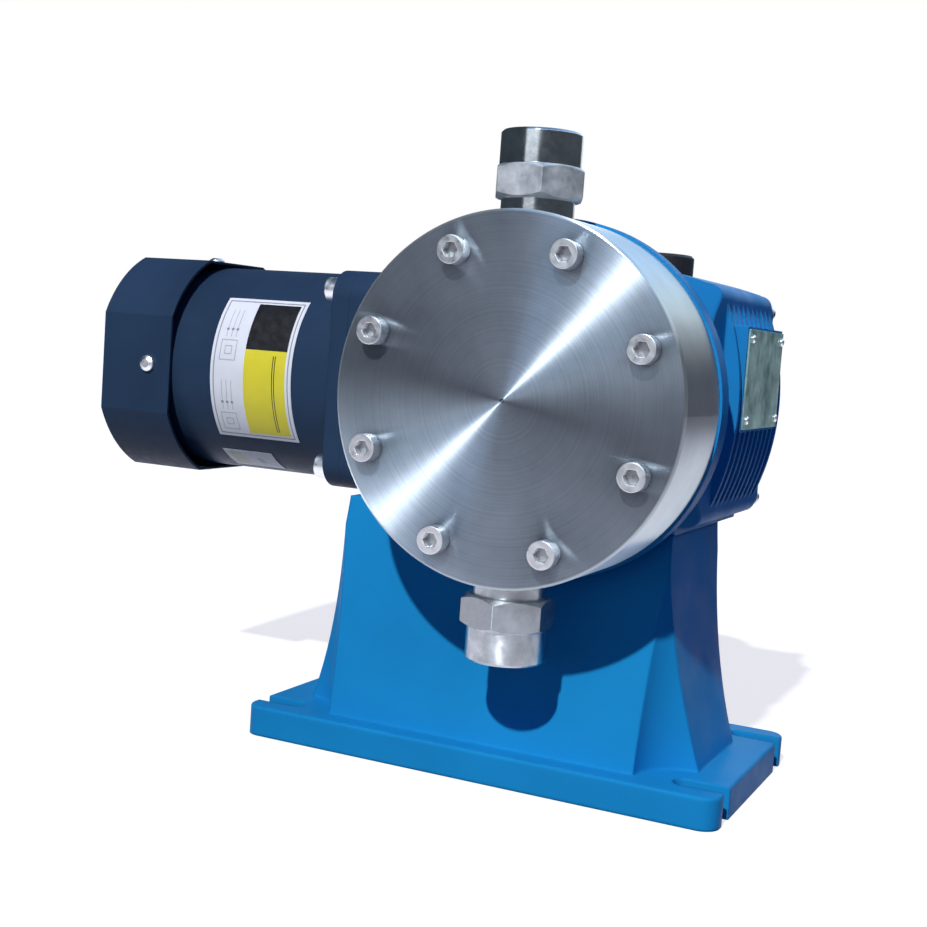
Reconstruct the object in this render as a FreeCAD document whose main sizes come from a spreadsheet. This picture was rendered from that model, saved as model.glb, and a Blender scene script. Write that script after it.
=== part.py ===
"""Diaphragm metering pump, a parametric FreeCAD document in millimetres.

Frame: the origin is the centre of the base's underside, +X runs to the finned end,
+Y runs back from the pump head, and +Z is up. The motor and cam shaft lie along X,
and the plunger, diaphragm and pump head lie along Y.
"""
import FreeCAD, Part
import math
import os
import re
import Sketcher
from FreeCAD import Placement, Rotation, Vector

doc = FreeCAD.newDocument("metering_pump")

# Driving dimensions: word, value, meaning
DIMENSIONS = [
    ("base_length", 196, "base plate along X"),
    ("base_width", 107, "base plate along Y"),
    ("base_thick", 12, "base plate height"),
    ("base_corner", 7, "corner rounding of the base plate"),
    ("slot_width", 9, "open bolt slot, for an M8 bolt"),
    ("slot_spacing", 79, "between the slot centres along Y"),
    ("slot_bolt_span", 165, "between the round slot ends along X"),
    ("foot_front", 44, "half depth of the pedestal where it meets the plate"),
    ("foot_half", 84, "half length of the pedestal where it meets the plate"),
    ("case_lift", 1, "gap between the gearhead and the pedestal's top face"),
    ("base_edge", 1, "rounding of the base plate's top edge"),
    ("top_front", 31, "half depth of the pedestal's top face"),
    ("waist_half", 67.5, "half length of the pedestal near its top"),
    ("flare_radius", 307, "radius of the pedestal's hollow flare"),
    ("recess_radius", 20, "round corner recess that clears the bolt"),
    ("recess_inset_x", 84, "corner recess centre along X"),
    ("recess_inset_y", 45, "corner recess centre along Y"),
    ("pedestal_wall", 7, "wall of the pedestal casting"),
    ("head_x", 19, "pump head axis along X"),
    ("axis_z", 145, "height of the head axis and of the cam shaft"),
    ("shaft_y", 18, "motor and cam shaft axis along Y"),
    ("head_radius", 65.5, "pump head"),
    ("head_thick", 39.5, "pump head along Y"),
    ("head_chamfer", 0.8, "edge break of the pump head"),
    ("joint_y", -44.5, "plane where the head meets the housing flange"),
    ("bolt_circle", 109, "pitch circle of the head screws"),
    ("screw_size", 6, "head and motor flange screws, M6"),
    ("cap_head", 10, "socket head diameter"),
    ("cap_height", 6, "socket head height"),
    ("hex_key", 5, "socket across flats"),
    ("hole_clearance", 0.3, "radial clearance of a screw hole"),
    ("fit_clearance", 0.05, "radial clearance of a running fit"),
    ("face_gap", 0.3, "gap between round faces of parts that move apart"),
    ("flange_radius", 66.5, "round front flange of the housing"),
    ("flange_thick", 10, "round front flange along Y"),
    ("house_left", -22, "left face of the housing"),
    ("house_right", 76, "right face of the housing, under the fins"),
    ("house_rear", 56, "rear face of the housing"),
    ("bearing_seat", -15, "left end of the cam shaft and of its left bearing"),
    ("cover_left", -11, "left edge of the rear cover, clear of the motor's pad"),
    ("motor_pad", 10, "depth of the pad that the gearhead bolts to"),
    ("house_crown", 198, "highest line of the crowned top"),
    ("crown_radius", 154, "radius of the crowned top"),
    ("cavity_left", -3, "inside of the left wall"),
    ("cavity_right", 68, "inside of the right wall"),
    ("cavity_front", -26, "inside of the front wall"),
    ("cavity_floor", 112, "inside of the floor"),
    ("cavity_roof", 180, "inside of the roof"),
    ("shoulder_radius", 64, "round shoulder behind the flange"),
    ("shoulder_fillet", 18, "hollow fillet between the flange and the crowned top"),
    ("shoulder_flare", 0.55, "how fast the front corners grow out of the shoulder"),
    ("corner_round", 5, "rounding of the finned end's upper and lower edge"),
    ("fin_bottom", 102, "lower edge of the finned end"),
    ("fin_top", 190, "upper edge of the finned end"),
    ("fin_front", -14, "front face of the first fin"),
    ("fin_count", 10, "fins"),
    ("fin_pitch", 7.2, "fin spacing"),
    ("fin_thick", 2.4, "fin thickness"),
    ("fin_bulge", 83.4, "outermost line of the fins"),
    ("fin_bulge_radius", 99, "radius of the bulged fin outline"),
    ("fin_mid", 147, "height of the outermost line"),
    ("plate_length", 53.5, "data plate along Y"),
    ("plate_height", 37.5, "data plate along Z"),
    ("plate_thick", 0.8, "data plate thickness"),
    ("plate_mid", 157.5, "height of the data plate's middle"),
    ("plate_y", 19.5, "middle of the data plate along Y"),
    ("pin_inset", 3.5, "plate pins from the edges of the plate"),
    ("pad_face", 83.2, "face of the data plate's pad"),
    ("pad_margin", 1, "pad beyond the plate"),
    ("eccentric", 3, "cam throw, half of the stroke"),
    ("journal_radius", 10, "cam journal and cam shaft"),
    ("ring_radius", 18.5, "outside of the cam's bearing"),
    ("ring_width", 9, "width of the cam's bearing"),
    ("cam_clearance", 0.6, "gap between the cam ring's reach and the yoke"),
    ("yoke_width", 14, "yoke along X"),
    ("yoke_bar", 5, "thickness of the yoke's bars"),
    ("yoke_plate", 6, "thickness of the yoke's front disc"),
    ("yoke_disc", 21, "radius of the yoke's front disc"),
    ("rod_radius", 8, "plunger rod"),
    ("stud_radius", 5, "stud through the diaphragm"),
    ("diaphragm_radius", 50, "diaphragm outside"),
    ("diaphragm_thick", 3, "diaphragm"),
    ("chamber_radius", 38, "moving part of the diaphragm"),
    ("dish_depth", 6, "dish in the back of the head"),
    ("backing_radius", 30, "disc behind the diaphragm"),
    ("backing_thick", 4, "disc behind the diaphragm"),
    ("clamp_radius", 25, "disc in front of the diaphragm"),
    ("clamp_thick", 3, "disc in front of the diaphragm"),
    ("front_chamber", 13.5, "depth of the chamber in the housing flange"),
    ("seal_radius", 14, "rod seal outside"),
    ("seal_thick", 4, "rod seal along Y"),
    ("bush_radius", 11, "rod bush outside"),
    ("bush_length", 9, "rod bush along Y"),
    ("boss_radius", 17, "boss round the rod bush"),
    ("spring_radius", 19.2, "mean radius of the return spring"),
    ("wire_radius", 1, "return spring wire"),
    ("stop_radius", 9, "stroke stop pad"),
    ("stop_thick", 4, "stroke stop pad"),
    ("adjuster_radius", 6, "adjusting screw, M12"),
    ("stroke", 6, "full stroke of the plunger"),
    ("cover_inset", 1, "rear cover from the housing's edges"),
    ("cover_gasket", 1, "rear gasket"),
    ("cover_thick", 7, "rear cover plate"),
    ("cover_boss", 15, "radius of the adjuster boss"),
    ("cover_boss_length", 24, "adjuster boss beyond the cover plate"),
    ("sleeve_wall", 2, "scale sleeve wall"),
    ("sleeve_length", 18, "scale sleeve"),
    ("knob_radius", 22, "stroke knob"),
    ("knob_length", 30, "stroke knob"),
    ("knob_end", 6, "end wall of the knob"),
    ("knob_clear", 0.6, "knob bore beyond the scale sleeve"),
    ("flute_radius", 3, "finger flutes of the knob"),
    ("valve_y", -65, "valve axis along Y"),
    ("hex_flats", 30, "valve body across flats"),
    ("hex_height", 11.5, "valve body hexagon"),
    ("spigot_radius", 14.5, "valve body spigot"),
    ("spigot_length", 12, "valve body spigot"),
    ("neck_radius", 13, "valve body thread"),
    ("neck_show", 4.5, "thread left showing above the head"),
    ("neck_length", 26, "valve body thread in all"),
    ("port_radius", 9.3, "inner thread of the port"),
    ("port_depth", 16, "inner thread of the port"),
    ("ball_chamber", 9, "radius of the ball chamber"),
    ("ball_chamber_depth", 18, "ball chamber"),
    ("ball_radius", 6, "check ball"),
    ("ball_lift", 4, "travel of a check ball"),
    ("seat_bore", 4.5, "ball seat bore radius"),
    ("seat_thick", 4, "ball seat"),
    ("passage", 5, "flow passage radius"),
    ("gasket_thick", 1.5, "valve gasket"),
    ("frame_size", 90, "square of the motor flange and gearhead"),
    ("frame_corner", 12, "corner rounding of the square"),
    ("screw_inset", 8.23, "motor flange screws from the sides of the square"),
    ("gear_joint", -76.5, "plane between the motor flange and gearhead"),
    ("case_wall", 4, "gearhead case wall"),
    ("case_end", 6, "gearhead end wall"),
    ("motor_flange_thick", 8, "motor flange plate"),
    ("motor_wall", 3, "motor frame wall"),
    ("motor_length", 83.5, "motor frame along X"),
    ("label_low", 39, "degrees that the motor label reaches down from the front line"),
    ("label_high", 43, "degrees that the motor label reaches up from the front line"),
    ("label_length", 40.5, "motor label along X"),
    ("label_gap", 17.5, "from the motor flange to the label"),
    ("label_film", 0.2, "motor label"),
    ("bracket_thick", 8, "motor rear bracket"),
    ("shaft_radius", 6, "rotor and output shafts"),
    ("core_length", 45, "stator and rotor cores"),
    ("core_gap", 0.3, "air gap of the motor"),
    ("rotor_radius", 28, "rotor core"),
    ("tooth_module", 0.8, "gear module"),
    ("pinion_teeth", 12, "both pinions"),
    ("wheel_teeth", 42, "both wheels"),
    ("pin_radius", 3, "pin of the intermediate gear"),
    ("cover_length", 36, "fan cover along X"),
    ("cover_end", -198.5, "outer face of the fan cover"),
    ("cover_gap", 2, "from the motor frame to the fan cover's flats"),
    ("cover_bow", 4.5, "fan cover's round corners beyond its flats"),
    ("cover_sheet", 1.2, "fan cover sheet"),
    ("fan_gap", 4, "from the fan to the cover's flats"),
    ("fan_width", 11, "cooling fan"),
    ("fan_blades", 8, "cooling fan blades"),
    ("breather_x", 38, "oil cap along X"),
    ("breather_radius", 14, "oil cap"),
    ("breather_sunk", 3, "depth of the oil cap's seat below the crown"),
    ("breather_top", 204, "top of the oil cap"),
]

# Sizes that follow from the driving ones
WORKED_OUT = {
    "pedestal_top": "(axis_z - frame_size / 2 - case_lift)",
    "motor_radius": "(frame_size / 2)",
    "screw_offset": "(frame_size / 2 - screw_inset)",
    "cover_half": "(frame_size / 2 + cover_gap)",
    "cover_radius": "(frame_size / 2 + cover_gap + cover_bow)",
    "fan_radius": "(frame_size / 2 + cover_gap - fan_gap)",
    "breather_seat": "(house_crown - breather_sunk)",
}

dims = doc.addObject("Spreadsheet::Sheet", "dims")
for row, (word, value, meaning) in enumerate(DIMENSIONS, start=1):
    dims.set("A%d" % row, str(value))
    dims.set("B%d" % row, meaning)
    dims.setAlias("A%d" % row, word)
doc.recompute()
WORDS = {word for word, value, meaning in DIMENSIONS}
SIZE = {word: value for word, value, meaning in DIMENSIONS}

# Turns that lay a part's own Z axis along a direction of the pump
TURNS = {
    "up": Rotation(),
    "down": Rotation(Vector(1, 0, 0), 180),
    "back": Rotation(Vector(1, 0, 0), -90),
    "front": Rotation(Vector(1, 0, 0), 90),
    "right": Rotation(Vector(0, 1, 0), 90),
    "left": Rotation(Vector(0, 1, 0), -90),
}
NODES = []


# Small tools for formulas and places
def formula(text):
    """A formula in the words of the sheet becomes a FreeCAD expression."""
    def refer(found):
        word = found.group(0)
        if word in WORKED_OUT:
            return formula(WORKED_OUT[word])
        return "dims." + word if word in WORDS else word
    return re.sub(r"[a-z][a-z_]*", refer, str(text))


def bind(thing, **sizes):
    for name, text in sizes.items():
        thing.setExpression(name, formula(text))
    return thing


def put(thing, x="0", y="0", z="0", way="up", spin=0):
    """Places a part, its own Z axis laid along the way, turned first about that axis."""
    turn = TURNS[way].multiply(Rotation(Vector(0, 0, 1), spin))
    thing.Placement = Placement(Vector(0, 0, 0), turn)
    for axis, text in zip("xyz", (x, y, z)):
        thing.setExpression("Placement.Base." + axis, formula(text))
    return thing


def box(name, length, width, height, x, y, z):
    """A block from its lowest corner."""
    thing = doc.addObject("Part::Box", name)
    return put(bind(thing, Length=length, Width=width, Height=height), x, y, z)


def rod(name, radius, length, x, y, z, way="up"):
    """A cylinder from the centre of its first end."""
    thing = doc.addObject("Part::Cylinder", name)
    return put(bind(thing, Radius=radius, Height=length), x, y, z, way)


def hexagon(name, flats, height, x, y, z, way="up", spin=0):
    thing = doc.addObject("Part::Prism", name)
    thing.Polygon = 6
    bind(thing, Circumradius="(%s) / sqrt(3)" % flats, Height=height)
    return put(thing, x, y, z, way, spin)


def fuse(name, parts):
    thing = doc.addObject("Part::MultiFuse", name)
    thing.Shapes = parts
    thing.Refine = True
    return thing


def common(name, first, second):
    thing = doc.addObject("Part::Common", name)
    thing.Base, thing.Tool = first, second
    return thing


def cut(name, base, tools):
    thing = doc.addObject("Part::Cut", name)
    thing.Base = base
    thing.Tool = tools[0] if len(tools) == 1 else fuse(name + "_tools", tools)
    thing.Refine = True
    return thing


def group(name, parts):
    thing = doc.addObject("Part::Compound", name)
    thing.Links = parts
    return thing


def node(thing, label):
    """The finished sub-part, under the name that its file gets."""
    thing.Label = label
    NODES.append(thing)
    return thing


# Small tools for bodies
def plane(body, role):
    return [item for item in body.Origin.OriginFeatures if item.Role == role][0]


def outline(body, name, points, role="XZ_Plane"):
    """A closed sketch whose corners are formulas; without a body it stands free in the XZ plane."""
    if body:
        sketch = body.newObject("Sketcher::SketchObject", name)
        sketch.AttachmentSupport = [(plane(body, role), "")]
        sketch.MapMode = "FlatFace"
    else:
        sketch = doc.addObject("Sketcher::SketchObject", name)
        sketch.Placement = Placement(Vector(0, 0, 0), TURNS["front"])
    count = len(points)
    ring = [Vector(math.cos(2 * math.pi * i / count), math.sin(2 * math.pi * i / count), 0) * 40
            for i in range(count)]
    for i in range(count):
        sketch.addGeometry(Part.LineSegment(ring[i], ring[(i + 1) % count]), False)
    for i in range(count):
        sketch.addConstraint(Sketcher.Constraint("Coincident", i, 2, (i + 1) % count, 1))
    for i, (across, along) in enumerate(points):
        for kind, text, axis in (("DistanceX", across, -2), ("DistanceY", along, -1)):
            if text == "0":
                sketch.addConstraint(Sketcher.Constraint("PointOnObject", i, 1, axis))
                continue
            number = sketch.addConstraint(Sketcher.Constraint(kind, -1, 1, i, 1, 1.0 + i))
            sketch.setExpression("Constraints[%d]" % number, formula(text))
    return sketch


def turned(name, points, angle="360"):
    """A turned body: corners are radius and height along the body's own Z axis."""
    body = doc.addObject("PartDesign::Body", name)
    sketch = outline(body, name + "_profile", points)
    turn = body.newObject("PartDesign::Revolution", name + "_turn")
    turn.Profile = sketch
    turn.ReferenceAxis = (sketch, ["V_Axis"])
    bind(turn, Angle=angle)
    body.Tip = turn
    return body


def ring(name, outer, inner, length, x, y, z, way="up"):
    points = [(inner, "0"), (outer, "0"), (outer, length), (inner, length)]
    return put(turned(name, points), x, y, z, way)


def rounded_plate(name, length, width, height, corner, x, y, z, way="up", top_edge=None):
    """A plate centred on its place, with round corners, as one padded sketch; its top edge can be rounded."""
    body = doc.addObject("PartDesign::Body", name)
    half_x, half_y = "(%s) / 2" % length, "(%s) / 2" % width
    corners = [("-" + half_x, "-" + half_y), (half_x, "-" + half_y),
               (half_x, half_y), ("-" + half_x, half_y)]
    sketch = outline(body, name + "_outline", corners, "XY_Plane")
    pad = body.newObject("PartDesign::Pad", name + "_pad")
    pad.Profile = sketch
    bind(pad, Length=height)
    doc.recompute()
    edges = ["Edge%d" % (i + 1) for i, edge in enumerate(pad.Shape.Edges)
             if abs(edge.tangentAt(edge.FirstParameter).z) > 0.99]
    rounds = body.newObject("PartDesign::Fillet", name + "_rounds")
    rounds.Base = (pad, edges)
    bind(rounds, Radius=corner)
    body.Tip = rounds
    if top_edge:
        doc.recompute()
        top = rounds.Shape.BoundBox.ZMax
        rim = ["Edge%d" % (i + 1) for i, edge in enumerate(rounds.Shape.Edges)
               if edge.BoundBox.ZMin > top - 0.1]
        softened = body.newObject("PartDesign::Fillet", name + "_top_edge")
        softened.Base = (rounds, rim)
        bind(softened, Radius=top_edge)
        body.Tip = softened
    return put(body, x, y, z, way)


def socket_screw(name, length, x, y, z, way):
    """A socket head screw; its place is under the head, and the shank runs the way."""
    shank = rod(name + "_shank", "screw_size / 2", length, x, y, z, way)
    back_way = {"back": "front", "right": "left", "up": "down", "front": "back"}[way]
    head = rod(name + "_head", "cap_head / 2", "cap_height", x, y, z, back_way)
    steps = {"back": ("0", "-1", "0"), "right": ("-1", "0", "0"), "up": ("0", "0", "-1"),
             "front": ("0", "1", "0")}[way]
    place = ["(%s) + (%s) * cap_height" % (at, step) for at, step in zip((x, y, z), steps)]
    socket = hexagon(name + "_socket", "hex_key", "cap_height * 0.6", *place, way=way)
    return cut(name, fuse(name + "_blank", [shank, head]), [socket])


def around(count, radius, start=0):
    """Formulas of points spaced evenly on a circle, as a pair for each."""
    step = 360 / count
    return [("(%s) * cos(%g deg)" % (radius, start + step * i),
             "(%s) * sin(%g deg)" % (radius, start + step * i)) for i in range(count)]


HEAD_SCREWS = around(8, "bolt_circle / 2", 360 / 16)
HEAD_FRONT = "(joint_y - head_thick)"
FLANGE_BACK = "(joint_y + flange_thick)"
BOTH = ("-1", "1")


# Base with its flared pedestal
def wedge(name, half_x, half_y, top_half_x, top_half_y, height, z):
    """A block that narrows towards its top."""
    thing = doc.addObject("Part::Wedge", name)
    bind(thing, Xmin="-(%s)" % half_x, Xmax=half_x, Zmin="-(%s)" % half_y, Zmax=half_y,
         X2min="-(%s)" % top_half_x, X2max=top_half_x, Z2min="-(%s)" % top_half_y, Z2max=top_half_y,
         Ymin="0", Ymax=height)
    return put(thing, "0", "0", z, "front")


def base_pedestal():
    plate = rounded_plate("base_plate", "base_length", "base_width", "base_thick", "base_corner",
                          "0", "0", "0", top_edge="base_edge")
    block = wedge("pedestal_block", "foot_half + 12", "foot_front", "foot_half + 12", "top_front",
                  "pedestal_top - base_thick", "base_thick")
    flares = [rod("flare_" + side, "flare_radius", "4 * foot_front",
                  "%s * (waist_half + flare_radius)" % sign, "-2 * foot_front", "pedestal_top + 10",
                  "back") for side, sign in zip(("left", "right"), BOTH)]
    recesses = []
    slots = []
    for i, (sx, sy) in enumerate((a, b) for a in BOTH for b in BOTH):
        recesses.append(rod("recess_%d" % i, "recess_radius", "pedestal_top",
                            "%s * recess_inset_x" % sx, "%s * recess_inset_y" % sy, "base_thick"))
        middle = "%s * slot_spacing / 2" % sy
        slots.append(rod("slot_end_%d" % i, "slot_width / 2", "3 * base_thick",
                         "%s * slot_bolt_span / 2" % sx, middle, "-base_thick"))
        slots.append(box("slot_run_%d" % i, "base_length / 2", "slot_width", "3 * base_thick",
                         "%s * (slot_bolt_span / 2 + base_length / 4) - base_length / 4" % sx,
                         middle + " - slot_width / 2", "-base_thick"))
    tower = cut("pedestal_tower", block, flares + recesses)
    inner_foot = "foot_front - pedestal_wall"
    hollow = wedge("pedestal_hollow", "recess_inset_x - recess_radius - pedestal_wall",
                   inner_foot, "recess_inset_x - recess_radius - pedestal_wall",
                   "top_front - pedestal_wall", "pedestal_top - pedestal_wall", "0")
    holes = [rod("foot_hole_%d" % i, "4 + hole_clearance", "2 * pedestal_wall", x, y,
                 "pedestal_top - 1.5 * pedestal_wall") for i, (x, y) in enumerate(PEDESTAL_SCREWS)]
    whole = fuse("pedestal_blank", [plate, tower])
    node(cut("pedestal", whole, [hollow] + slots + holes), "base_pedestal")


PEDESTAL_SCREWS = [(x, y) for x in ("-4", "48") for y in ("-14", "14")]


def pedestal_screws():
    screws = []
    for i, (x, y) in enumerate(PEDESTAL_SCREWS):
        under = "pedestal_top - pedestal_wall"
        shank = rod("foot_shank_%d" % i, "4", "pedestal_wall + 10", x, y, under)
        head = hexagon("foot_head_%d" % i, "13", "5.3", x, y, under, "down")
        screws.append(fuse("foot_screw_%d" % i, [shank, head]))
    node(group("foot_screws", screws), "pedestal_screws")


# Gear housing
def gear_housing():
    depth = "(house_rear - joint_y - flange_thick)"
    flange = turned("flange", [("0", "0"), ("flange_radius", "0"),
                               ("flange_radius", "flange_thick - 1.5"),
                               ("flange_radius - 1.5", "flange_thick"), ("0", "flange_thick")])
    put(flange, "head_x", "joint_y", "axis_z", "back")
    blank = box("house_blank", "house_right - house_left", depth, "house_crown - pedestal_top",
                "house_left", FLANGE_BACK, "pedestal_top")
    crown = rod("crown", "crown_radius", depth, "(house_left + house_right) / 2", FLANGE_BACK,
                "house_crown - crown_radius", "back")
    cone = bind(doc.addObject("Part::Cone", "shoulder_cone"), Radius1="shoulder_radius",
                Radius2="shoulder_radius + shoulder_flare * " + depth, Height=depth)
    put(cone, "head_x", FLANGE_BACK, "axis_z", "back")
    body = common("house_body", common("house_crowned", blank, crown), cone)
    drum = rod("shoulder_drum", "shoulder_radius", "shoulder_fillet", "head_x", FLANGE_BACK, "axis_z",
               "back")
    hollow = bind(doc.addObject("Part::Torus", "shoulder_hollow"),
                  Radius1="house_crown - axis_z + shoulder_fillet", Radius2="shoulder_fillet")
    put(hollow, "head_x", FLANGE_BACK + " + shoulder_fillet", "axis_z", "back")
    low = box("below_floor", "4 * flange_radius", depth, "pedestal_top", "head_x - 2 * flange_radius",
              FLANGE_BACK, "face_gap")
    left = box("left_of_house", "flange_radius", depth, "4 * flange_radius",
               "house_left - flange_radius", FLANGE_BACK, "0")
    shoulder = cut("shoulder", drum, [hollow, low, left])
    plate = rounded_plate("pad_plate", "frame_size", "frame_size", "motor_pad",
                          "frame_corner", "house_left", "shaft_y", "axis_z", "right")
    corner = box("low_corner", "house_right", depth, "fin_bottom",
                 "waist_half + face_gap", FLANGE_BACK, "0")
    outside = fuse("house_outside", [flange, shoulder, body, plate])
    whole = cut("house_whole", fuse("house_sharp", [cut("house_trimmed", outside, [corner]), finned_end()]),
                edge_rounds())
    room = box("house_room", "cavity_right - cavity_left", "house_rear - cavity_front + 1",
               "cavity_roof - cavity_floor", "cavity_left", "cavity_front", "cavity_floor")
    hollowed = fuse("house_with_bosses", [cut("house_hollow", whole, [room])] + house_bosses())
    node(cut("house", hollowed, house_bores()), "gear_housing")


def house_bosses():
    rod_boss = rod("rod_boss", "boss_radius", ROD_BOSS_LENGTH, "head_x", "cavity_front - 1", "axis_z",
                   "back")
    right = rod("right_boss", "23", "14", "cavity_right - 13", "shaft_y", "axis_z", "right")
    return [rod_boss, right]


CHAMBER_END = "(joint_y + front_chamber)"
ROD_BOSS_LENGTH = "(joint_y + front_chamber + seal_thick + bush_length - cavity_front + 1)"


def house_bores():
    bores = [
        rod("diaphragm_seat", "diaphragm_radius + hole_clearance", "diaphragm_thick", "head_x", "joint_y",
            "axis_z", "back"),
        rod("chamber", "chamber_radius", "front_chamber", "head_x", "joint_y", "axis_z", "back"),
        rod("seal_bore", "seal_radius", "front_chamber + seal_thick", "head_x", "joint_y", "axis_z",
            "back"),
        rod("bush_bore", "bush_radius", "front_chamber + seal_thick + bush_length + 1", "head_x",
            "joint_y", "axis_z", "back"),
        rod("right_bearing_bore", "17.5", "11", "cavity_right - 13", "shaft_y", "axis_z", "right"),
        rod("left_bearing_bore", "23.5", "13", "bearing_seat", "shaft_y", "axis_z", "right"),
        rod("left_shaft_bore", "18", "20", "house_left - 1", "shaft_y", "axis_z", "right"),
        rod("oil_hole", "9", "40", "breather_x", "shaft_y", "cavity_roof - 10"),
        rod("cap_seat", "breather_radius + face_gap", "20", "breather_x", "shaft_y", "breather_seat"),
    ]
    for i, (across, up) in enumerate(HEAD_SCREWS):
        bores.append(rod("flange_hole_%d" % i, "screw_size / 2 + fit_clearance", "flange_thick - 1",
                         "head_x + " + across, "joint_y - 0.5", "axis_z + " + up, "back"))
    for i, (sy, sz) in enumerate((a, b) for a in BOTH for b in BOTH):
        bores.append(rod("pad_hole_%d" % i, "screw_size / 2 + fit_clearance", "9", "house_left",
                         "shaft_y + %s * screw_offset" % sy, "axis_z + %s * screw_offset" % sz, "right"))
    for i, (x, y) in enumerate(PEDESTAL_SCREWS):
        bores.append(rod("floor_hole_%d" % i, "4 + fit_clearance", "10.5", x, y, "pedestal_top"))
    for i, (x, z) in enumerate(COVER_SCREWS):
        bores.append(rod("rear_hole_%d" % i, "2 + fit_clearance", "10", x, "house_rear - 9", z, "back"))
    return bores


def finned_end():
    """The right wall with its upright fins, whose bulged edges run out into the wall, and the plate's pad."""
    length = "((fin_count - 1) * fin_pitch + fin_thick)"
    wall = box("fin_wall", "house_right - cavity_right", length, "fin_top - fin_bottom", "cavity_right",
               "fin_front", "fin_bottom")
    bulge = rod("fin_bulge", "fin_bulge_radius", length, "fin_bulge - fin_bulge_radius", "fin_front",
                "fin_mid", "back")
    slabs = [box("fin_slab_%d" % i, "fin_bulge - cavity_right", "fin_thick",
                 "fin_top - fin_bottom - 2 * corner_round", "cavity_right", "fin_front + %d * fin_pitch" % i,
                 "fin_bottom + corner_round") for i in range(SIZE["fin_count"])]
    fins = common("fin_set", fuse("fin_slabs", slabs), bulge)
    pad_length, pad_height = "(plate_length + 2 * pad_margin)", "(plate_height + 2 * pad_margin)"
    place = ("plate_y - %s / 2" % pad_length, "plate_mid - %s / 2" % pad_height)
    face = box("plate_face", "10", pad_length, pad_height, "pad_face", *place)
    pad = box("plate_pad", "pad_face - cavity_right", pad_length, pad_height, "cavity_right", *place)
    return fuse("fin_end", [wall, pad, cut("fins_with_room", fins, [face])])


def edge_rounds():
    """What rounds the long upper and lower edges of the right wall: blocks less the round edge itself."""
    inside = "(house_right - corner_round)"
    middle = "((house_left + house_right) / 2)"
    high = "(house_crown - crown_radius + sqrt(pow(crown_radius - corner_round, 2) - pow(%s - %s, 2)))" % (
        inside, middle)
    low = "(fin_bottom + corner_round)"
    length = "(house_rear - joint_y)"
    tools = []
    for side, z, lowest in (("upper", high, high), ("lower", low, low + " - 2 * corner_round")):
        block = box("edge_block_" + side, "2 * corner_round", length, "2 * corner_round", inside, FLANGE_BACK,
                    lowest)
        tools.append(cut("edge_round_" + side, block, [rod("edge_core_" + side, "corner_round", length, inside,
                                                          FLANGE_BACK, z, "back")]))
    return tools


def nameplate():
    length, height = "(plate_length)", "(plate_height)"
    plate = box("data_plate", "plate_thick", length, height, "pad_face",
                "plate_y - %s / 2" % length, "plate_mid - %s / 2" % height)
    node(plate, "nameplate")
    pins = []
    for i, (sy, sz) in enumerate((a, b) for a in BOTH for b in BOTH):
        points = [("0", "0"), ("1.6", "0"), ("1.6", "0.5"), ("1", "1.1"), ("0", "1.1")]
        pins.append(put(turned("plate_pin_%d" % i, points), "pad_face + plate_thick",
                        "plate_y + %s * (plate_length / 2 - pin_inset)" % sy,
                        "plate_mid + %s * (plate_height / 2 - pin_inset)" % sz, "right"))
    node(group("plate_pins", pins), "nameplate_screws")


# Rear cover, oil fittings
COVER_SCREWS = [(x, z) for x in ("cover_left + 4", "head_x + 13", "house_right - 4.5")
                for z in ("(fin_bottom + cavity_floor) / 2", "(fin_top + cavity_roof) / 2")]
REAR = "(house_rear + cover_gasket)"


def cover_outline(name, thick, y):
    width = "(house_right - cover_inset - cover_left)"
    height = "(fin_top - fin_bottom - 2 * cover_inset)"
    return rounded_plate(name, width, height, thick, "corner_round", "(cover_left + %s / 2)" % width, y,
                         "(fin_top + fin_bottom) / 2", "back")


def rear_cover():
    holes = [rod("gasket_hole_%d" % i, "2 + hole_clearance", "10", x, "house_rear - 2", z, "back")
             for i, (x, z) in enumerate(COVER_SCREWS)]
    window = box("gasket_window", "cavity_right - cavity_left", "10", "cavity_roof - cavity_floor",
                 "cavity_left", "house_rear - 2", "cavity_floor")
    node(cut("gasket", cover_outline("gasket_plate", "cover_gasket", "house_rear"), holes + [window]),
         "rear_cover_gasket")
    plate = cover_outline("cover_plate", "cover_thick", REAR)
    boss = rod("adjuster_boss", "cover_boss", "cover_thick + cover_boss_length", "head_x", REAR, "axis_z",
               "back")
    bore = rod("adjuster_bore", "adjuster_radius + fit_clearance", "60", "head_x", "house_rear", "axis_z",
               "back")
    cover_holes = [rod("cover_hole_%d" % i, "2 + hole_clearance", "20", x, "house_rear", z, "back")
                   for i, (x, z) in enumerate(COVER_SCREWS)]
    drain = rod("drain_hole", "6", "20", DRAIN[0], "house_rear", DRAIN[1], "back")
    sight = rod("sight_hole", "9", "20", SIGHT[0], "house_rear", SIGHT[1], "back")
    node(cut("cover", fuse("cover_blank", [plate, boss]), [bore, drain, sight] + cover_holes), "rear_cover")
    screws = []
    for i, (x, z) in enumerate(COVER_SCREWS):
        shank = rod("cover_shank_%d" % i, "2", "cover_thick + cover_gasket + 8", x,
                    REAR + " + cover_thick", z, "front")
        head = rod("cover_head_%d" % i, "3.5", "4", x, REAR + " + cover_thick", z, "back")
        socket = hexagon("cover_socket_%d" % i, "3", "3", x, REAR + " + cover_thick + 1.8", z, "back")
        screws.append(cut("cover_screw_%d" % i, fuse("cover_blank_%d" % i, [shank, head]), [socket]))
    node(group("cover_screws", screws), "rear_cover_screws")


DRAIN = ("cavity_right - 14", "cavity_floor + 8")
SIGHT = ("cavity_right - 14", "axis_z - 4")


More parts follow.
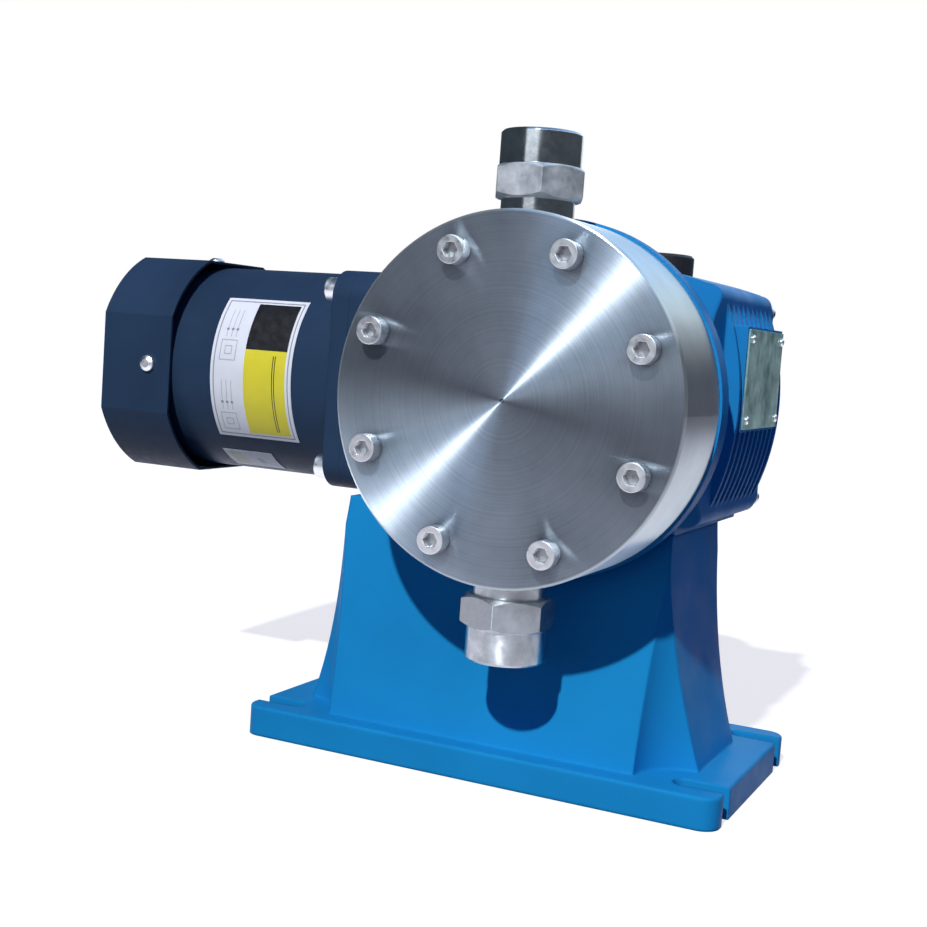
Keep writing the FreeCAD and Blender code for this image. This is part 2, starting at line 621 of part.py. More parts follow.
def oil_fittings():
    stem = rod("plug_stem", "6", "cover_thick", DRAIN[0], REAR + " + cover_thick", DRAIN[1], "front")
    collar = rod("plug_collar", "8.5", "1.5", DRAIN[0], REAR + " + cover_thick", DRAIN[1], "back")
    head = hexagon("plug_head", "13", "7", DRAIN[0], REAR + " + cover_thick", DRAIN[1], "back")
    node(fuse("plug", [stem, collar, head]), "oil_drain_plug")
    points = [("0", "-cover_thick"), ("9", "-cover_thick"), ("9", "0"), ("12", "0"), ("12", "2.5"),
              ("10.5", "3.5"), ("8", "3.5"), ("8", "2.2"), ("0", "2.2")]
    node(put(turned("sight", points), SIGHT[0], REAR + " + cover_thick", SIGHT[1], "back"),
         "oil_sight_glass")
    cap = turned("breather", [("0", "cavity_roof"), ("9", "cavity_roof"), ("9", "breather_seat"),
                              ("breather_radius", "breather_seat"),
                              ("breather_radius", "breather_top - 1"),
                              ("breather_radius - 1", "breather_top"),
                              ("4", "breather_top"), ("4", "breather_top - 1.5"), ("0", "breather_top - 1.5")])
    node(put(cap, "breather_x", "shaft_y", "0"), "oil_breather_cap")


# Pump head and its screws
def pump_head():
    blank = turned("head_blank", [
        ("0", "0"), ("clamp_radius", "0"), ("chamber_radius - 4", "0"), ("chamber_radius", "-dish_depth"),
        ("head_radius", "-dish_depth"), ("head_radius", "head_thick - dish_depth - head_chamfer"),
        ("head_radius - head_chamfer", "head_thick - dish_depth"), ("0.8", "head_thick - dish_depth"),
        ("0.8", "head_thick - dish_depth - 0.5"), ("0", "head_thick - dish_depth - 0.5")])
    put(blank, "head_x", "joint_y - dish_depth", "axis_z", "front")
    tools = []
    for i, (across, up) in enumerate(HEAD_SCREWS):
        tools.append(rod("head_hole_%d" % i, "screw_size / 2 + hole_clearance", "head_thick + 2",
                         "head_x + " + across, HEAD_FRONT + " - 1", "axis_z + " + up, "back"))
    for side, sign, way in (("top", "1", "up"), ("bottom", "-1", "down")):
        tools.append(rod("valve_bore_" + side, "neck_radius + fit_clearance", "head_radius", "head_x",
                         "valve_y", "axis_z + %s * (%s)" % (sign, BORE_END), way))
        tools.append(rod("riser_" + side, "passage", "head_radius / 2", "head_x", "valve_y",
                         "axis_z + %s * (%s)" % (sign, PASSAGE_HEIGHT), way))
        tools.append(rod("crossing_" + side, "passage", "joint_y - valve_y", "head_x", "valve_y",
                         "axis_z + %s * (%s)" % (sign, PASSAGE_HEIGHT), "back"))
    node(cut("head", blank, tools), "pump_head")
    screws = []
    for i, (across, up) in enumerate(HEAD_SCREWS):
        screws.append(socket_screw("head_screw_%d" % i, "head_thick + flange_thick - 2",
                                   "head_x + " + across, HEAD_FRONT, "axis_z + " + up, "back"))
    node(group("head_screw_set", screws), "head_screws")


PASSAGE_HEIGHT = "chamber_radius - 5 - passage"
BORE_END = "head_radius + neck_show - neck_length - gasket_thick"
HEX_FACE = "(head_radius + neck_show)"


def valve_body(name, sign, way, spin):
    """The turned and hexagonal body; its own Z runs out of the head from the hexagon's inner face."""
    shape = turned(name + "_turned", [
        ("ball_chamber", "-neck_length"), ("neck_radius", "-neck_length"), ("neck_radius", "0"),
        ("hex_flats / 2 - 0.5", "0"), ("hex_flats / 2 - 0.5", "hex_height"),
        ("spigot_radius", "hex_height"), ("spigot_radius", "hex_height + spigot_length - 0.8"),
        ("spigot_radius - 0.8", "hex_height + spigot_length"),
        ("port_radius + 1.2", "hex_height + spigot_length"),
        ("port_radius", "hex_height + spigot_length - 1.2"),
        ("port_radius", "hex_height + spigot_length - port_depth"),
        ("passage", "hex_height + spigot_length - port_depth"),
        ("passage", "ball_chamber_depth - neck_length"),
        ("ball_chamber", "ball_chamber_depth - neck_length")])
    wrench = doc.addObject("Part::Prism", name + "_hexagon")
    wrench.Polygon = 6
    bind(wrench, Circumradius="hex_flats / sqrt(3)", Height="hex_height")
    corners = doc.addObject("Part::Cone", name + "_corner_cone")
    bind(corners, Radius1="hex_flats / sqrt(3) + 1", Radius2="hex_flats / 2 - 0.4",
         Height="(hex_flats / sqrt(3) + 1.4 - hex_flats / 2) * 0.6")
    bind(corners, **{"Placement.Base.z": "hex_height - (hex_flats / sqrt(3) + 1.4 - hex_flats / 2) * 0.6"})
    lower = doc.addObject("Part::Cone", name + "_inner_cone")
    bind(lower, Radius1="hex_flats / 2 - 0.4", Radius2="hex_flats / sqrt(3) + 1",
         Height="(hex_flats / sqrt(3) + 1.4 - hex_flats / 2) * 0.6")
    middle = doc.addObject("Part::Cylinder", name + "_middle")
    bind(middle, Radius="hex_flats / sqrt(3) + 1",
         Height="hex_height - (hex_flats / sqrt(3) + 1.4 - hex_flats / 2) * 1.2")
    bind(middle, **{"Placement.Base.z": "(hex_flats / sqrt(3) + 1.4 - hex_flats / 2) * 0.6"})
    trimmed = common(name + "_wrench", wrench, fuse(name + "_trim", [lower, middle, corners]))
    bore = doc.addObject("Part::Cylinder", name + "_bore")
    bind(bore, Radius="port_radius", Height="hex_height")
    thin = doc.addObject("Part::Cylinder", name + "_thin")
    bind(thin, Radius="passage", Height="hex_height")
    bind(bore, **{"Placement.Base.z": "hex_height + spigot_length - port_depth"})
    jacket = cut(name + "_jacket", trimmed, [bore, thin])
    whole = fuse(name + "_whole", [shape, jacket])
    return put(whole, "head_x", "valve_y", "axis_z + %s * %s" % (sign, HEX_FACE), way, spin)


def valves():
    top = valve_body("top_valve", "1", "up", -5)
    long, short = "(2 * ball_chamber - 2)", "3.5"
    roof = "axis_z + %s - neck_length + ball_chamber_depth - 0.5" % HEX_FACE
    slots = [box("cage_slot_" + name, length, width, "3", "head_x - %s / 2" % length,
                 "valve_y - %s / 2" % width, roof)
             for name, length, width in (("across", long, short), ("along", short, long))]
    node(cut("top_valve_slotted", top, slots), "discharge_valve_body")
    node(valve_body("bottom_valve", "-1", "down", 25), "suction_valve_body")
    inner = "(%s - neck_length)" % HEX_FACE
    seat_points = [("seat_bore", "0"), ("ball_chamber - fit_clearance", "0"),
                   ("ball_chamber - fit_clearance", "seat_thick"), ("seat_bore + 0.6", "seat_thick"),
                   ("seat_bore", "seat_thick - 0.6")]
    top_seat = "axis_z + " + inner
    low_seat = "axis_z - %s - ball_chamber_depth" % inner
    node(put(turned("top_seat", seat_points), "head_x", "valve_y", top_seat), "discharge_seat")
    node(put(turned("low_seat", seat_points), "head_x", "valve_y", low_seat), "suction_seat")
    for name, seat in (("discharge_ball", top_seat), ("suction_ball", low_seat)):
        ball = bind(doc.addObject("Part::Sphere", name + "_sphere"), Radius="ball_radius")
        node(put(ball, "head_x", "valve_y",
                 seat + " + seat_thick + fit_clearance + sqrt(pow(ball_radius, 2) - pow(seat_bore, 2))"),
             name)
    gaskets = [ring("valve_ring_" + side, "neck_radius - 0.2", "ball_chamber - 1", "gasket_thick", "head_x",
                    "valve_y", "axis_z + %s * %s" % (sign, inner), way)
               for side, sign, way in (("top", "1", "down"), ("low", "-1", "up"))]
    node(group("valve_rings", gaskets), "valve_gaskets")


# Diaphragm, plunger and return spring
YOKE_FRONT = "(shaft_y - ring_radius - eccentric - cam_clearance)"
YOKE_REAR = "(shaft_y + ring_radius + eccentric + cam_clearance)"


def plunger():
    disc = "(joint_y + diaphragm_thick)"
    node(ring("membrane", "diaphragm_radius", "stud_radius + fit_clearance", "diaphragm_thick", "head_x",
              "joint_y", "axis_z", "back"), "diaphragm")
    clamp = turned("clamp", [("0", "0"), ("clamp_radius", "0"), ("clamp_radius", "clamp_thick - 1"),
                             ("clamp_radius - 2", "clamp_thick"), ("0", "clamp_thick")])
    node(put(clamp, "head_x", "joint_y", "axis_z", "front"), "diaphragm_clamp_disc")
    node(ring("backing", "backing_radius", "stud_radius + fit_clearance", "backing_thick", "head_x", disc,
              "axis_z", "back"), "diaphragm_backing_disc")
    rod_end = "(%s + backing_thick)" % disc
    stem = rod("rod_stem", "rod_radius", "%s - yoke_plate / 2 - %s" % (YOKE_FRONT, rod_end), "head_x",
               rod_end, "axis_z", "back")
    stud = rod("rod_stud", "stud_radius", "diaphragm_thick + backing_thick + 1", "head_x", "joint_y",
               "axis_z", "back")
    face = rod("yoke_disc_plate", "yoke_disc", "yoke_plate", "head_x", YOKE_FRONT + " - yoke_plate",
               "axis_z", "back")
    reach = "(ring_radius + eccentric + 1)"
    outer = box("yoke_outer", "yoke_width", "%s + yoke_bar - %s + yoke_plate" % (YOKE_REAR, YOKE_FRONT),
                "2 * (%s + yoke_bar)" % reach, "head_x - yoke_width / 2", YOKE_FRONT + " - yoke_plate",
                "axis_z - %s - yoke_bar" % reach)
    inner = box("yoke_inner", "2 * yoke_width", "%s - %s" % (YOKE_REAR, YOKE_FRONT), "2 * " + reach,
                "head_x - yoke_width", YOKE_FRONT, "axis_z - " + reach)
    frame = cut("yoke_frame", outer, [inner])
    node(fuse("yoke", [stem, stud, face, frame]), "plunger_yoke")
    node(ring("guide", "bush_radius", "rod_radius + fit_clearance", "bush_length", "head_x",
              CHAMBER_END + " + seal_thick", "axis_z", "back"), "plunger_bush")
    node(ring("lip_seal", "seal_radius", "rod_radius + fit_clearance", "seal_thick", "head_x",
              CHAMBER_END, "axis_z", "back"), "plunger_seal")
    return_spring()


def return_spring():
    turns = 3
    room = "(%s - yoke_plate - cavity_front - 2 * wire_radius - 0.6)" % YOKE_FRONT
    helix = doc.addObject("Part::Helix", "spring_path")
    bind(helix, Radius="spring_radius", Height=room, Pitch="%s / %d" % (room, turns))
    section = outline(None, "spring_section", [
        ("spring_radius - wire_radius", "-wire_radius"), ("spring_radius + wire_radius", "-wire_radius"),
        ("spring_radius + wire_radius", "wire_radius"), ("spring_radius - wire_radius", "wire_radius")])
    sweep = doc.addObject("Part::Sweep", "spring_wire")
    sweep.Sections = [section]
    sweep.Spine = (helix, ["Edge1"])
    sweep.Solid = True
    sweep.Frenet = True
    doc.recompute()
    sweep.Spine = (helix, ["Edge%d" % (i + 1) for i in range(len(helix.Shape.Edges))])
    node(put(sweep, "head_x", "cavity_front + wire_radius + 0.3", "axis_z", "back"), "return_spring")


# Cam shaft with its bearings
def cam_shaft():
    left_end, right_end = "bearing_seat", "(cavity_right - 2)"
    half = "(ring_width / 2)"
    shaft = turned("cam_turned", [
        ("shaft_radius + fit_clearance", "0"), ("journal_radius", "0"),
        ("journal_radius", "head_x - %s - %s - 6" % (half, left_end)),
        ("journal_radius + 4", "head_x - %s - %s - 6" % (half, left_end)),
        ("journal_radius + 4", "head_x - %s - %s" % (half, left_end)),
        ("journal_radius - eccentric", "head_x - %s - %s" % (half, left_end)),
        ("journal_radius - eccentric", "head_x + %s - %s" % (half, left_end)),
        ("journal_radius + 1", "head_x + %s - %s" % (half, left_end)),
        ("journal_radius + 1", "head_x + %s - %s + 5" % (half, left_end)),
        ("7.5", "head_x + %s - %s + 5" % (half, left_end)),
        ("7.5", "%s - %s" % (right_end, left_end)), ("0", "%s - %s" % (right_end, left_end)),
        ("0", "27"), ("shaft_radius + fit_clearance", "27")])
    put(shaft, left_end, "shaft_y", "axis_z", "right")
    journal = rod("cam_journal", "journal_radius", "ring_width", "head_x - " + half,
                  "shaft_y + eccentric", "axis_z", "right")
    keyway = box("cam_keyway", "22", "4", "2.5", left_end, "shaft_y - 2", "axis_z + shaft_radius - 0.5")
    node(cut("cam", fuse("cam_blank", [shaft, journal]), [keyway]), "camshaft")
    key = box("key_block", "16", "4 - 0.04", "4", left_end + " + 3", "shaft_y - 1.98",
              "axis_z + shaft_radius - 2.5")
    node(key, "camshaft_key")
    ring_body = bearing("cam_ring", "ring_radius", "journal_radius", "ring_width", "head_x - " + half,
                        "shaft_y + eccentric", "axis_z")
    node(ring_body, "eccentric_bearing")
    left = bearing("left_ring", "23.5", "journal_radius", "12", left_end, "shaft_y", "axis_z")
    right = bearing("right_ring", "17.5", "7.5", "11", "cavity_right - 13", "shaft_y", "axis_z")
    node(group("cam_bearings", [left, right]), "camshaft_bearings")


def bearing(name, outer, inner, width, x, y, z):
    """A sealed ball bearing, whose rings, balls and shields make one plain ring."""
    return ring(name, outer, inner, width, x, y, z, "right")


# Stroke adjuster
def adjuster():
    pad_front = "(%s + yoke_bar + stroke + face_gap)" % YOKE_REAR
    pad = turned("stop", [("0", "0"), ("stop_radius - 1", "0"), ("stop_radius", "1"),
                          ("stop_radius", "stop_thick"), ("0", "stop_thick")])
    node(put(pad, "head_x", pad_front, "axis_z", "back"), "stop_pad")
    knob_back = "(%s + cover_thick + 18 + knob_length)" % REAR
    start = "(%s + stop_thick)" % pad_front
    node(rod("adjuster", "adjuster_radius", "%s - knob_end - %s" % (knob_back, start), "head_x", start,
             "axis_z", "back"), "adjusting_screw")
    node(ring("sleeve", "cover_boss + sleeve_wall", "cover_boss + fit_clearance", "sleeve_length", "head_x",
              REAR + " + cover_thick + 2", "axis_z", "back"), "scale_sleeve")
    inner = "cover_boss + sleeve_wall + knob_clear"
    cup = turned("knob_cup", [
        (inner, "0"), ("knob_radius - 1", "0"), ("knob_radius", "1"), ("knob_radius", "knob_length - 2"),
        ("knob_radius - 2", "knob_length"), ("0", "knob_length"), ("0", "knob_length - knob_end"),
        (inner, "knob_length - knob_end")])
    put(cup, "head_x", knob_back + " - knob_length", "axis_z", "back")
    flutes = [rod("knob_flute_%d" % i, "flute_radius", "knob_length - 8", "head_x + " + across,
                  knob_back + " - knob_length + 8", "axis_z + " + up, "back")
              for i, (across, up) in enumerate(around(10, "knob_radius + flute_radius * 0.55"))]
    node(cut("knob", cup, flutes), "stroke_knob")


# Gears
def gear(name, teeth, width, bore):
    """A spur gear: a root disc and one tooth, repeated round the axis."""
    body = doc.addObject("PartDesign::Body", name)
    root = "(tooth_module * %s / 2 - tooth_module * 1.1)" % teeth
    tip = "(tooth_module * %s / 2 + tooth_module * 0.8)" % teeth
    disc = outline(body, name + "_disc", [(bore, "0"), (root, "0"), (root, width), (bore, width)])
    turn = body.newObject("PartDesign::Revolution", name + "_root")
    turn.Profile = disc
    turn.ReferenceAxis = (disc, ["V_Axis"])
    pitch_line = "(tooth_module * %s / 2)" % teeth
    half_root, half_mid, half_tip = ("(tooth_module * %g)" % part for part in (0.98, 0.68, 0.36))
    tooth = outline(body, name + "_tooth", [
        ("-" + half_root, root + " - 0.25"), (half_root, root + " - 0.25"), (half_mid, pitch_line),
        (half_tip, tip), ("-" + half_tip, tip), ("-" + half_mid, pitch_line)], "XY_Plane")
    pad = body.newObject("PartDesign::Pad", name + "_tooth_pad")
    pad.Profile = tooth
    bind(pad, Length=width)
    pattern = body.newObject("PartDesign::PolarPattern", name + "_teeth")
    pattern.Originals = [pad]
    pattern.Axis = (tooth, ["N_Axis"])
    pattern.Angle = 360
    bind(pattern, Occurrences=teeth)
    body.Tip = pattern
    return body


CENTRES = "(tooth_module * (pinion_teeth + wheel_teeth) / 2)"


def gear_train():
    """Two equal pairs, from the rotor's pinion by way of the pin above it back to the shaft's line."""
    first, second = "(gear_joint + 3)", "(gear_joint + 14)"
    upper = "axis_z + " + CENTRES
    big = put(gear("upper_wheel", "wheel_teeth", "7", "pin_radius + fit_clearance"), first, "shaft_y",
              upper, "right", 0)
    small = put(gear("upper_pinion", "pinion_teeth", "14", "pin_radius + fit_clearance"),
                first + " + 6.5", "shaft_y", upper, "right", 0)
    node(fuse("upper_gear", [big, small]), "intermediate_gear")
    node(rod("upper_pin", "pin_radius", "34", "gear_joint - 4", "shaft_y", upper, "right"),
         "intermediate_pin")
    node(put(gear("low_wheel", "wheel_teeth", "10", "shaft_radius"), second, "shaft_y", "axis_z",
             "right"), "output_gear")
    start, end = "(%s - 1)" % second, "(bearing_seat + 25)"
    shaft = rod("out_shaft", "shaft_radius", "%s - %s" % (end, start), start, "shaft_y", "axis_z", "right")
    keyseat = box("out_keyseat", "16.04", "4", "4", "bearing_seat + 2.98", "shaft_y - 2",
                  "axis_z + shaft_radius - 2.5")
    node(cut("out_shaft_cut", shaft, [keyseat]), "output_shaft")
    bearings = [bearing("out_ring_%d" % i, "14", "shaft_radius", "8", x, "shaft_y", "axis_z")
                for i, x in enumerate(("house_left - 22", "house_left - 8.5"))]
    node(group("out_rings", bearings), "output_bearings")


def gearhead():
    length = "(house_left - gear_joint)"
    blank = rounded_plate("case_blank", "frame_size", "frame_size", length, "frame_corner", "gear_joint",
                          "shaft_y", "axis_z", "right")
    room = rounded_plate("case_room", "frame_size - 2 * case_wall", "frame_size - 2 * case_wall",
                         length + " - case_end", "frame_corner - case_wall", "gear_joint", "shaft_y",
                         "axis_z", "right")
    boss = rod("case_boss", "18", "24", "house_left - 24", "shaft_y", "axis_z", "right")
    pin_boss = rod("case_pin_boss", "7", length + " - 24 - 3", "gear_joint + 27", "shaft_y",
                   "axis_z + " + CENTRES, "right")
    posts = []
    holes = []
    for i, (sy, sz) in enumerate((a, b) for a in BOTH for b in BOTH):
        y, z = "shaft_y + %s * screw_offset" % sy, "axis_z + %s * screw_offset" % sz
        posts.append(rod("case_post_%d" % i, "5.5", length, "gear_joint", y, z, "right"))
        holes.append(rod("case_hole_%d" % i, "screw_size / 2 + hole_clearance", length + " + 4",
                         "gear_joint - 2", y, z, "right"))
    bore = rod("case_bore", "14", "40", "house_left - 30", "shaft_y", "axis_z", "right")
    pin_hole = rod("case_pin_hole", "pin_radius", "31", "gear_joint", "shaft_y", "axis_z + " + CENTRES,
                   "right")
    shell = cut("case_shell", blank, [room])
    whole = fuse("case_whole", [shell, boss, pin_boss] + posts)
    trimmed = common("case_trimmed", whole, rounded_plate(
        "case_outer", "frame_size", "frame_size", length, "frame_corner", "gear_joint", "shaft_y",
        "axis_z", "right"))
    node(cut("case", trimmed, [bore, pin_hole] + holes), "gearhead_case")


# Motor
def motor():
    flange_x = "(gear_joint - motor_flange_thick)"
    plate = rounded_plate("motor_plate", "frame_size", "frame_size", "motor_flange_thick", "frame_corner",
                          flange_x, "shaft_y", "axis_z", "right")
    spigot = rod("motor_spigot", "motor_radius - motor_wall", "6", flange_x + " - 6", "shaft_y", "axis_z",
                 "right")
    boss = rod("motor_boss", "21", "4", flange_x + " - 9", "shaft_y", "axis_z", "right")
    holes = [rod("motor_bearing_bore", "16", "12", flange_x + " - 10", "shaft_y", "axis_z", "right"),
             rod("motor_shaft_bore", "8", "30", flange_x + " - 10", "shaft_y", "axis_z", "right"),
             rod("motor_pin_hole", "pin_radius", "4", "gear_joint - 4", "shaft_y", "axis_z + " + CENTRES,
                 "right")]
    screws = []
    for i, (sy, sz) in enumerate((a, b) for a in BOTH for b in BOTH):
        y, z = "shaft_y + %s * screw_offset" % sy, "axis_z + %s * screw_offset" % sz
        holes.append(rod("motor_hole_%d" % i, "screw_size / 2 + hole_clearance", "20", flange_x + " - 4",
                         y, z, "right"))
        screws.append(socket_screw("motor_screw_%d" % i,
                                   "motor_flange_thick + house_left - gear_joint + 8", flange_x, y, z,
                                   "right"))
    node(cut("motor_front", fuse("motor_front_blank", [plate, spigot, boss]), holes), "motor_flange")
    node(group("motor_screws", screws), "motor_flange_screws")
    frame_x = "(%s - motor_length)" % flange_x
    shell = ring("motor_shell", "motor_radius", "motor_radius - motor_wall", "motor_length", frame_x,
                 "shaft_y", "axis_z", "right")
    lead = rod("lead_hole", "4", "20", frame_x + " + 12", "shaft_y + motor_radius - 10", "axis_z", "back")
    node(cut("motor_tube", shell, [lead]), "motor_frame")
    node(put(turned("grommet", [("1.5", "-motor_wall"), ("4", "-motor_wall"), ("4", "0.4"), ("6", "0.4"),
                                ("5", "3"), ("1.5", "3")]),
             frame_x + " + 12", "shaft_y + motor_radius", "axis_z", "back"), "lead_grommet")
    label = turned("label_sheet", [("motor_radius", "0"), ("motor_radius + label_film", "0"),
                                   ("motor_radius + label_film", "label_length"),
                                   ("motor_radius", "label_length")], "label_low + label_high")
    node(put(label, flange_x + " - label_gap - label_length", "shaft_y", "axis_z", "right",
             -90 - SIZE["label_high"]), "motor_label")
    rear = rod("rear_disc", "motor_radius", "bracket_thick", frame_x + " - bracket_thick", "shaft_y",
               "axis_z", "right")
    step = rod("rear_step", "motor_radius - motor_wall", "5", frame_x, "shaft_y", "axis_z", "right")
    lugs = [box("rear_lug_y", "12", "2 * (cover_half - cover_sheet)", "12",
                frame_x + " - bracket_thick - 4", "shaft_y - cover_half + cover_sheet", "axis_z - 6"),
            box("rear_lug_z", "12", "12", "2 * (cover_half - cover_sheet)",
                frame_x + " - bracket_thick - 4", "shaft_y - 6", "axis_z - cover_half + cover_sheet")]
    inside = rod("rear_relief", "motor_radius - 6", "4.1", frame_x + " - bracket_thick - 4.1", "shaft_y",
                 "axis_z", "right")
    pocket = rod("rear_bearing_bore", "16", "10", frame_x + " - 3", "shaft_y", "axis_z", "right")
    through = rod("rear_shaft_bore", "7", "40", frame_x + " - 30", "shaft_y", "axis_z", "right")
    node(cut("rear_bracket", fuse("rear_blank", [rear, step] + lugs), [inside, pocket, through]),
         "motor_rear_bracket")
    core_x = "(%s - 8 - 12.5 - core_length)" % flange_x
    node(ring("stator", "motor_radius - motor_wall - fit_clearance", "rotor_radius + core_gap",
              "core_length", core_x, "shaft_y", "axis_z", "right"), "stator_core")
    coils = [ring("coil_" + side, "motor_radius - motor_wall - 4", "rotor_radius + 3", "11", x, "shaft_y",
                  "axis_z", "right")
             for side, x in (("left", core_x + " - 11"), ("right", core_x + " + core_length"))]
    node(group("coils", coils), "stator_windings")
    node(ring("rotor", "rotor_radius", "shaft_radius", "core_length", core_x, "shaft_y", "axis_z",
              "right"), "rotor_core")
    tail = "(%s - bracket_thick - 20)" % frame_x
    journal = rod("rotor_rod", "shaft_radius", "gear_joint + 1 - %s" % tail, tail, "shaft_y", "axis_z",
                  "right")
    pinion = put(gear("rotor_pinion", "pinion_teeth", "10", "0"), "gear_joint + 1", "shaft_y", "axis_z",
                 "right")
    node(fuse("rotor_whole", [journal, pinion]), "rotor_shaft")
    bearings = [bearing("motor_ring_front", "16", "shaft_radius", "10", flange_x + " - 8", "shaft_y",
                        "axis_z"),
                bearing("motor_ring_rear", "16", "shaft_radius", "10", frame_x + " - 3", "shaft_y",
                        "axis_z")]
    node(group("motor_rings", bearings), "motor_bearings")
    fan(tail)
    fan_cover()


def fan(tail):
    hub = ring("fan_hub", "12", "shaft_radius", "fan_width", tail + " + 1", "shaft_y", "axis_z", "right")
    disc = ring("fan_disc", "fan_radius", "11", "1.5", tail + " + fan_width - 0.5", "shaft_y", "axis_z",
                "right")
    blades = []
    for i in range(SIZE["fan_blades"]):
        blade = bind(doc.addObject("Part::Box", "fan_blade_%d" % i), Length="fan_radius - 11", Width="1.4",
                     Height="fan_width")
        angle = 360 / SIZE["fan_blades"] * i
        put(blade, tail + " + 1", "shaft_y + 11 * sin(%g deg)" % angle,
            "axis_z - 11 * cos(%g deg)" % angle, "right", angle)
        blades.append(blade)
    node(fuse("fan", [hub, disc] + blades), "cooling_fan")


def fan_cover():
    def drum(name, radius, half, length, x):
        round_part = rod(name + "_round", radius, length, x, "shaft_y", "axis_z", "right")
        flats = box(name + "_flats", length, "2 * (%s)" % half, "2 * (%s)" % half, x,
                    "shaft_y - (%s)" % half, "axis_z - (%s)" % half)
        return common(name, round_part, flats)
    outer = drum("cover_outer", "cover_radius", "cover_half", "cover_length", "cover_end")
    inner = drum("cover_inner", "cover_radius - cover_sheet", "cover_half - cover_sheet", "cover_length",
                 "cover_end + cover_sheet")
    vents = []
    for i, (across, up) in enumerate(around(12, "24")):
        vents.append(rod("vent_%d" % i, "4", "10", "cover_end - 4", "shaft_y + " + across,
                         "axis_z + " + up, "right"))
    node(cut("cover_cup", outer, [inner] + vents), "fan_cover")
    screws = []
    screw_x = "(gear_joint - motor_flange_thick - motor_length - bracket_thick + 2)"
    for i, (way, sy, sz) in enumerate((("front", "-1", "0"), ("back", "1", "0"), ("up", "0", "1"),
                                       ("down", "0", "-1"))):
        points = [("0", "0"), ("3.6", "0"), ("3.4", "1.3"), ("2", "2.2"), ("0", "2.2")]
        screws.append(put(turned("cover_pan_%d" % i, points), screw_x,
                          "shaft_y + %s * cover_half" % sy, "axis_z + %s * cover_half" % sz, way))
    node(group("cover_pans", screws), "fan_cover_screws")


def build():
    base_pedestal()
    pedestal_screws()
    gear_housing()
    nameplate()
    rear_cover()
    oil_fittings()
    pump_head()
    valves()
    plunger()
    cam_shaft()
    adjuster()
    gearhead()
    gear_train()
    motor()
    doc.recompute()


def check_and_export():
    os.makedirs("parts", exist_ok=True)
    faults = [thing.Label for thing in doc.Objects if "Invalid" in thing.State or "Error" in thing.State]
    if faults:
        raise RuntimeError("these objects did not compute: " + ", ".join(faults))
    for thing in NODES:
        if thing.Shape.isNull() or not thing.Shape.isValid() or not thing.Shape.Solids:
            raise RuntimeError(thing.Label + " is not a valid solid")
        thing.Shape.exportStep("parts/%s.step" % thing.Label)
    print(len(NODES), "nodes written")


build()
check_and_export()
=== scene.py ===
"""The look of the diaphragm metering pump, in metres, in the frame of its CAD model.

The origin is the middle of the base's underside, +X runs to the finned end, +Y runs back
from the pump head, and +Z is up.
"""
import math
import bmesh
import bpy
from mathutils import Matrix, Vector


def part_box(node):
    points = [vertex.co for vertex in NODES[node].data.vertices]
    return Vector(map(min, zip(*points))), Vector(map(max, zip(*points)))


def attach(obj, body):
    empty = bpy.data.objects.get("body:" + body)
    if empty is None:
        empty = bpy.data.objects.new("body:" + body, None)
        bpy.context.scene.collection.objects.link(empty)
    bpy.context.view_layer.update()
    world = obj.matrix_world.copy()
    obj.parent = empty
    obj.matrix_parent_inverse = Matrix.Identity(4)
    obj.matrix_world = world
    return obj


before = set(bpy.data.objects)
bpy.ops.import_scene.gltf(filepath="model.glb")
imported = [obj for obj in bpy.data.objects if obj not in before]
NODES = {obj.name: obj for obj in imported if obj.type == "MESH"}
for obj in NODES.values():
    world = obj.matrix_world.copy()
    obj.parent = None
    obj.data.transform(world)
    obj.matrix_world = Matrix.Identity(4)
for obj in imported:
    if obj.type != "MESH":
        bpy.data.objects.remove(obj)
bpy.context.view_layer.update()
MM = 0.001

# Camera, as the photograph was taken
CAMERA_PLACE = Vector((0.2129, -0.5268, 0.1649))
CAMERA_FORWARD = Vector((-0.4212, 0.9027, -0.0873))
CAMERA_UP = Vector((-0.101, 0.049, 0.9937))
CAMERA_LENS = 54.77
SENSOR = 36.0

# Lamps: the sun stands in front of the head, a little to its right, and a broad dim lamp stands behind
SUN_TRAVEL = Vector((-0.052, 0.746, -0.664))
SUN_STRENGTH = 2.7
SUN_WIDTH = math.radians(1.5)
BACK_TRAVEL = Vector((0.25, -0.96, -0.12))
BACK_STRENGTH = 0.8
BACK_WIDTH = math.radians(40)

# Sky: the fill lights matt surfaces, and gloss mirrors the rest. SKYLINE holds colours by height, from
# a dark skyline up to a deep blue. It climbs towards +X, and there is a dark side towards -X.
# Heights and sides are parts of a direction of length 1.
SKY_FILL = (0.105, 0.105, 0.28)
SKYLINE = ((0.05, (0.05, 0.06, 0.07)), (0.13, (0.83, 0.88, 0.93)), (0.30, (0.70, 0.86, 1.0)),
           (0.55, (0.42, 0.66, 1.0)), (0.95, (0.13, 0.24, 0.48)))
SKYLINE_STRENGTH = 1.35
CLIMB = 0.4
CLIMB_START = 0.15
CLIMB_END = 0.65
SHADE_SIDE = (0.035, 0.045, 0.055)
SHADE_END = -0.42
OPEN_START = -0.35

# Floor: to the camera it glows and catches a light shadow. In gloss it is bright round the pump and
# fades with distance, sooner behind the pump. In front on the right only RIGHT_SHARE of it is left.
FLOOR_REACH = 12.0
FLOOR_GLOW = 0.735
FLOOR_CATCH = 0.42
FLOOR_BOUNCE = 0.13
FLOOR_SHINE = 0.85
FLOOR_GLINT = 0.55
FADE_START = 0.8
FADE_END = 2.5
BEHIND_FACTOR = 2.5
RIGHT_SHARE = 0.4
RIGHT_START = -0.1
RIGHT_END = -0.5

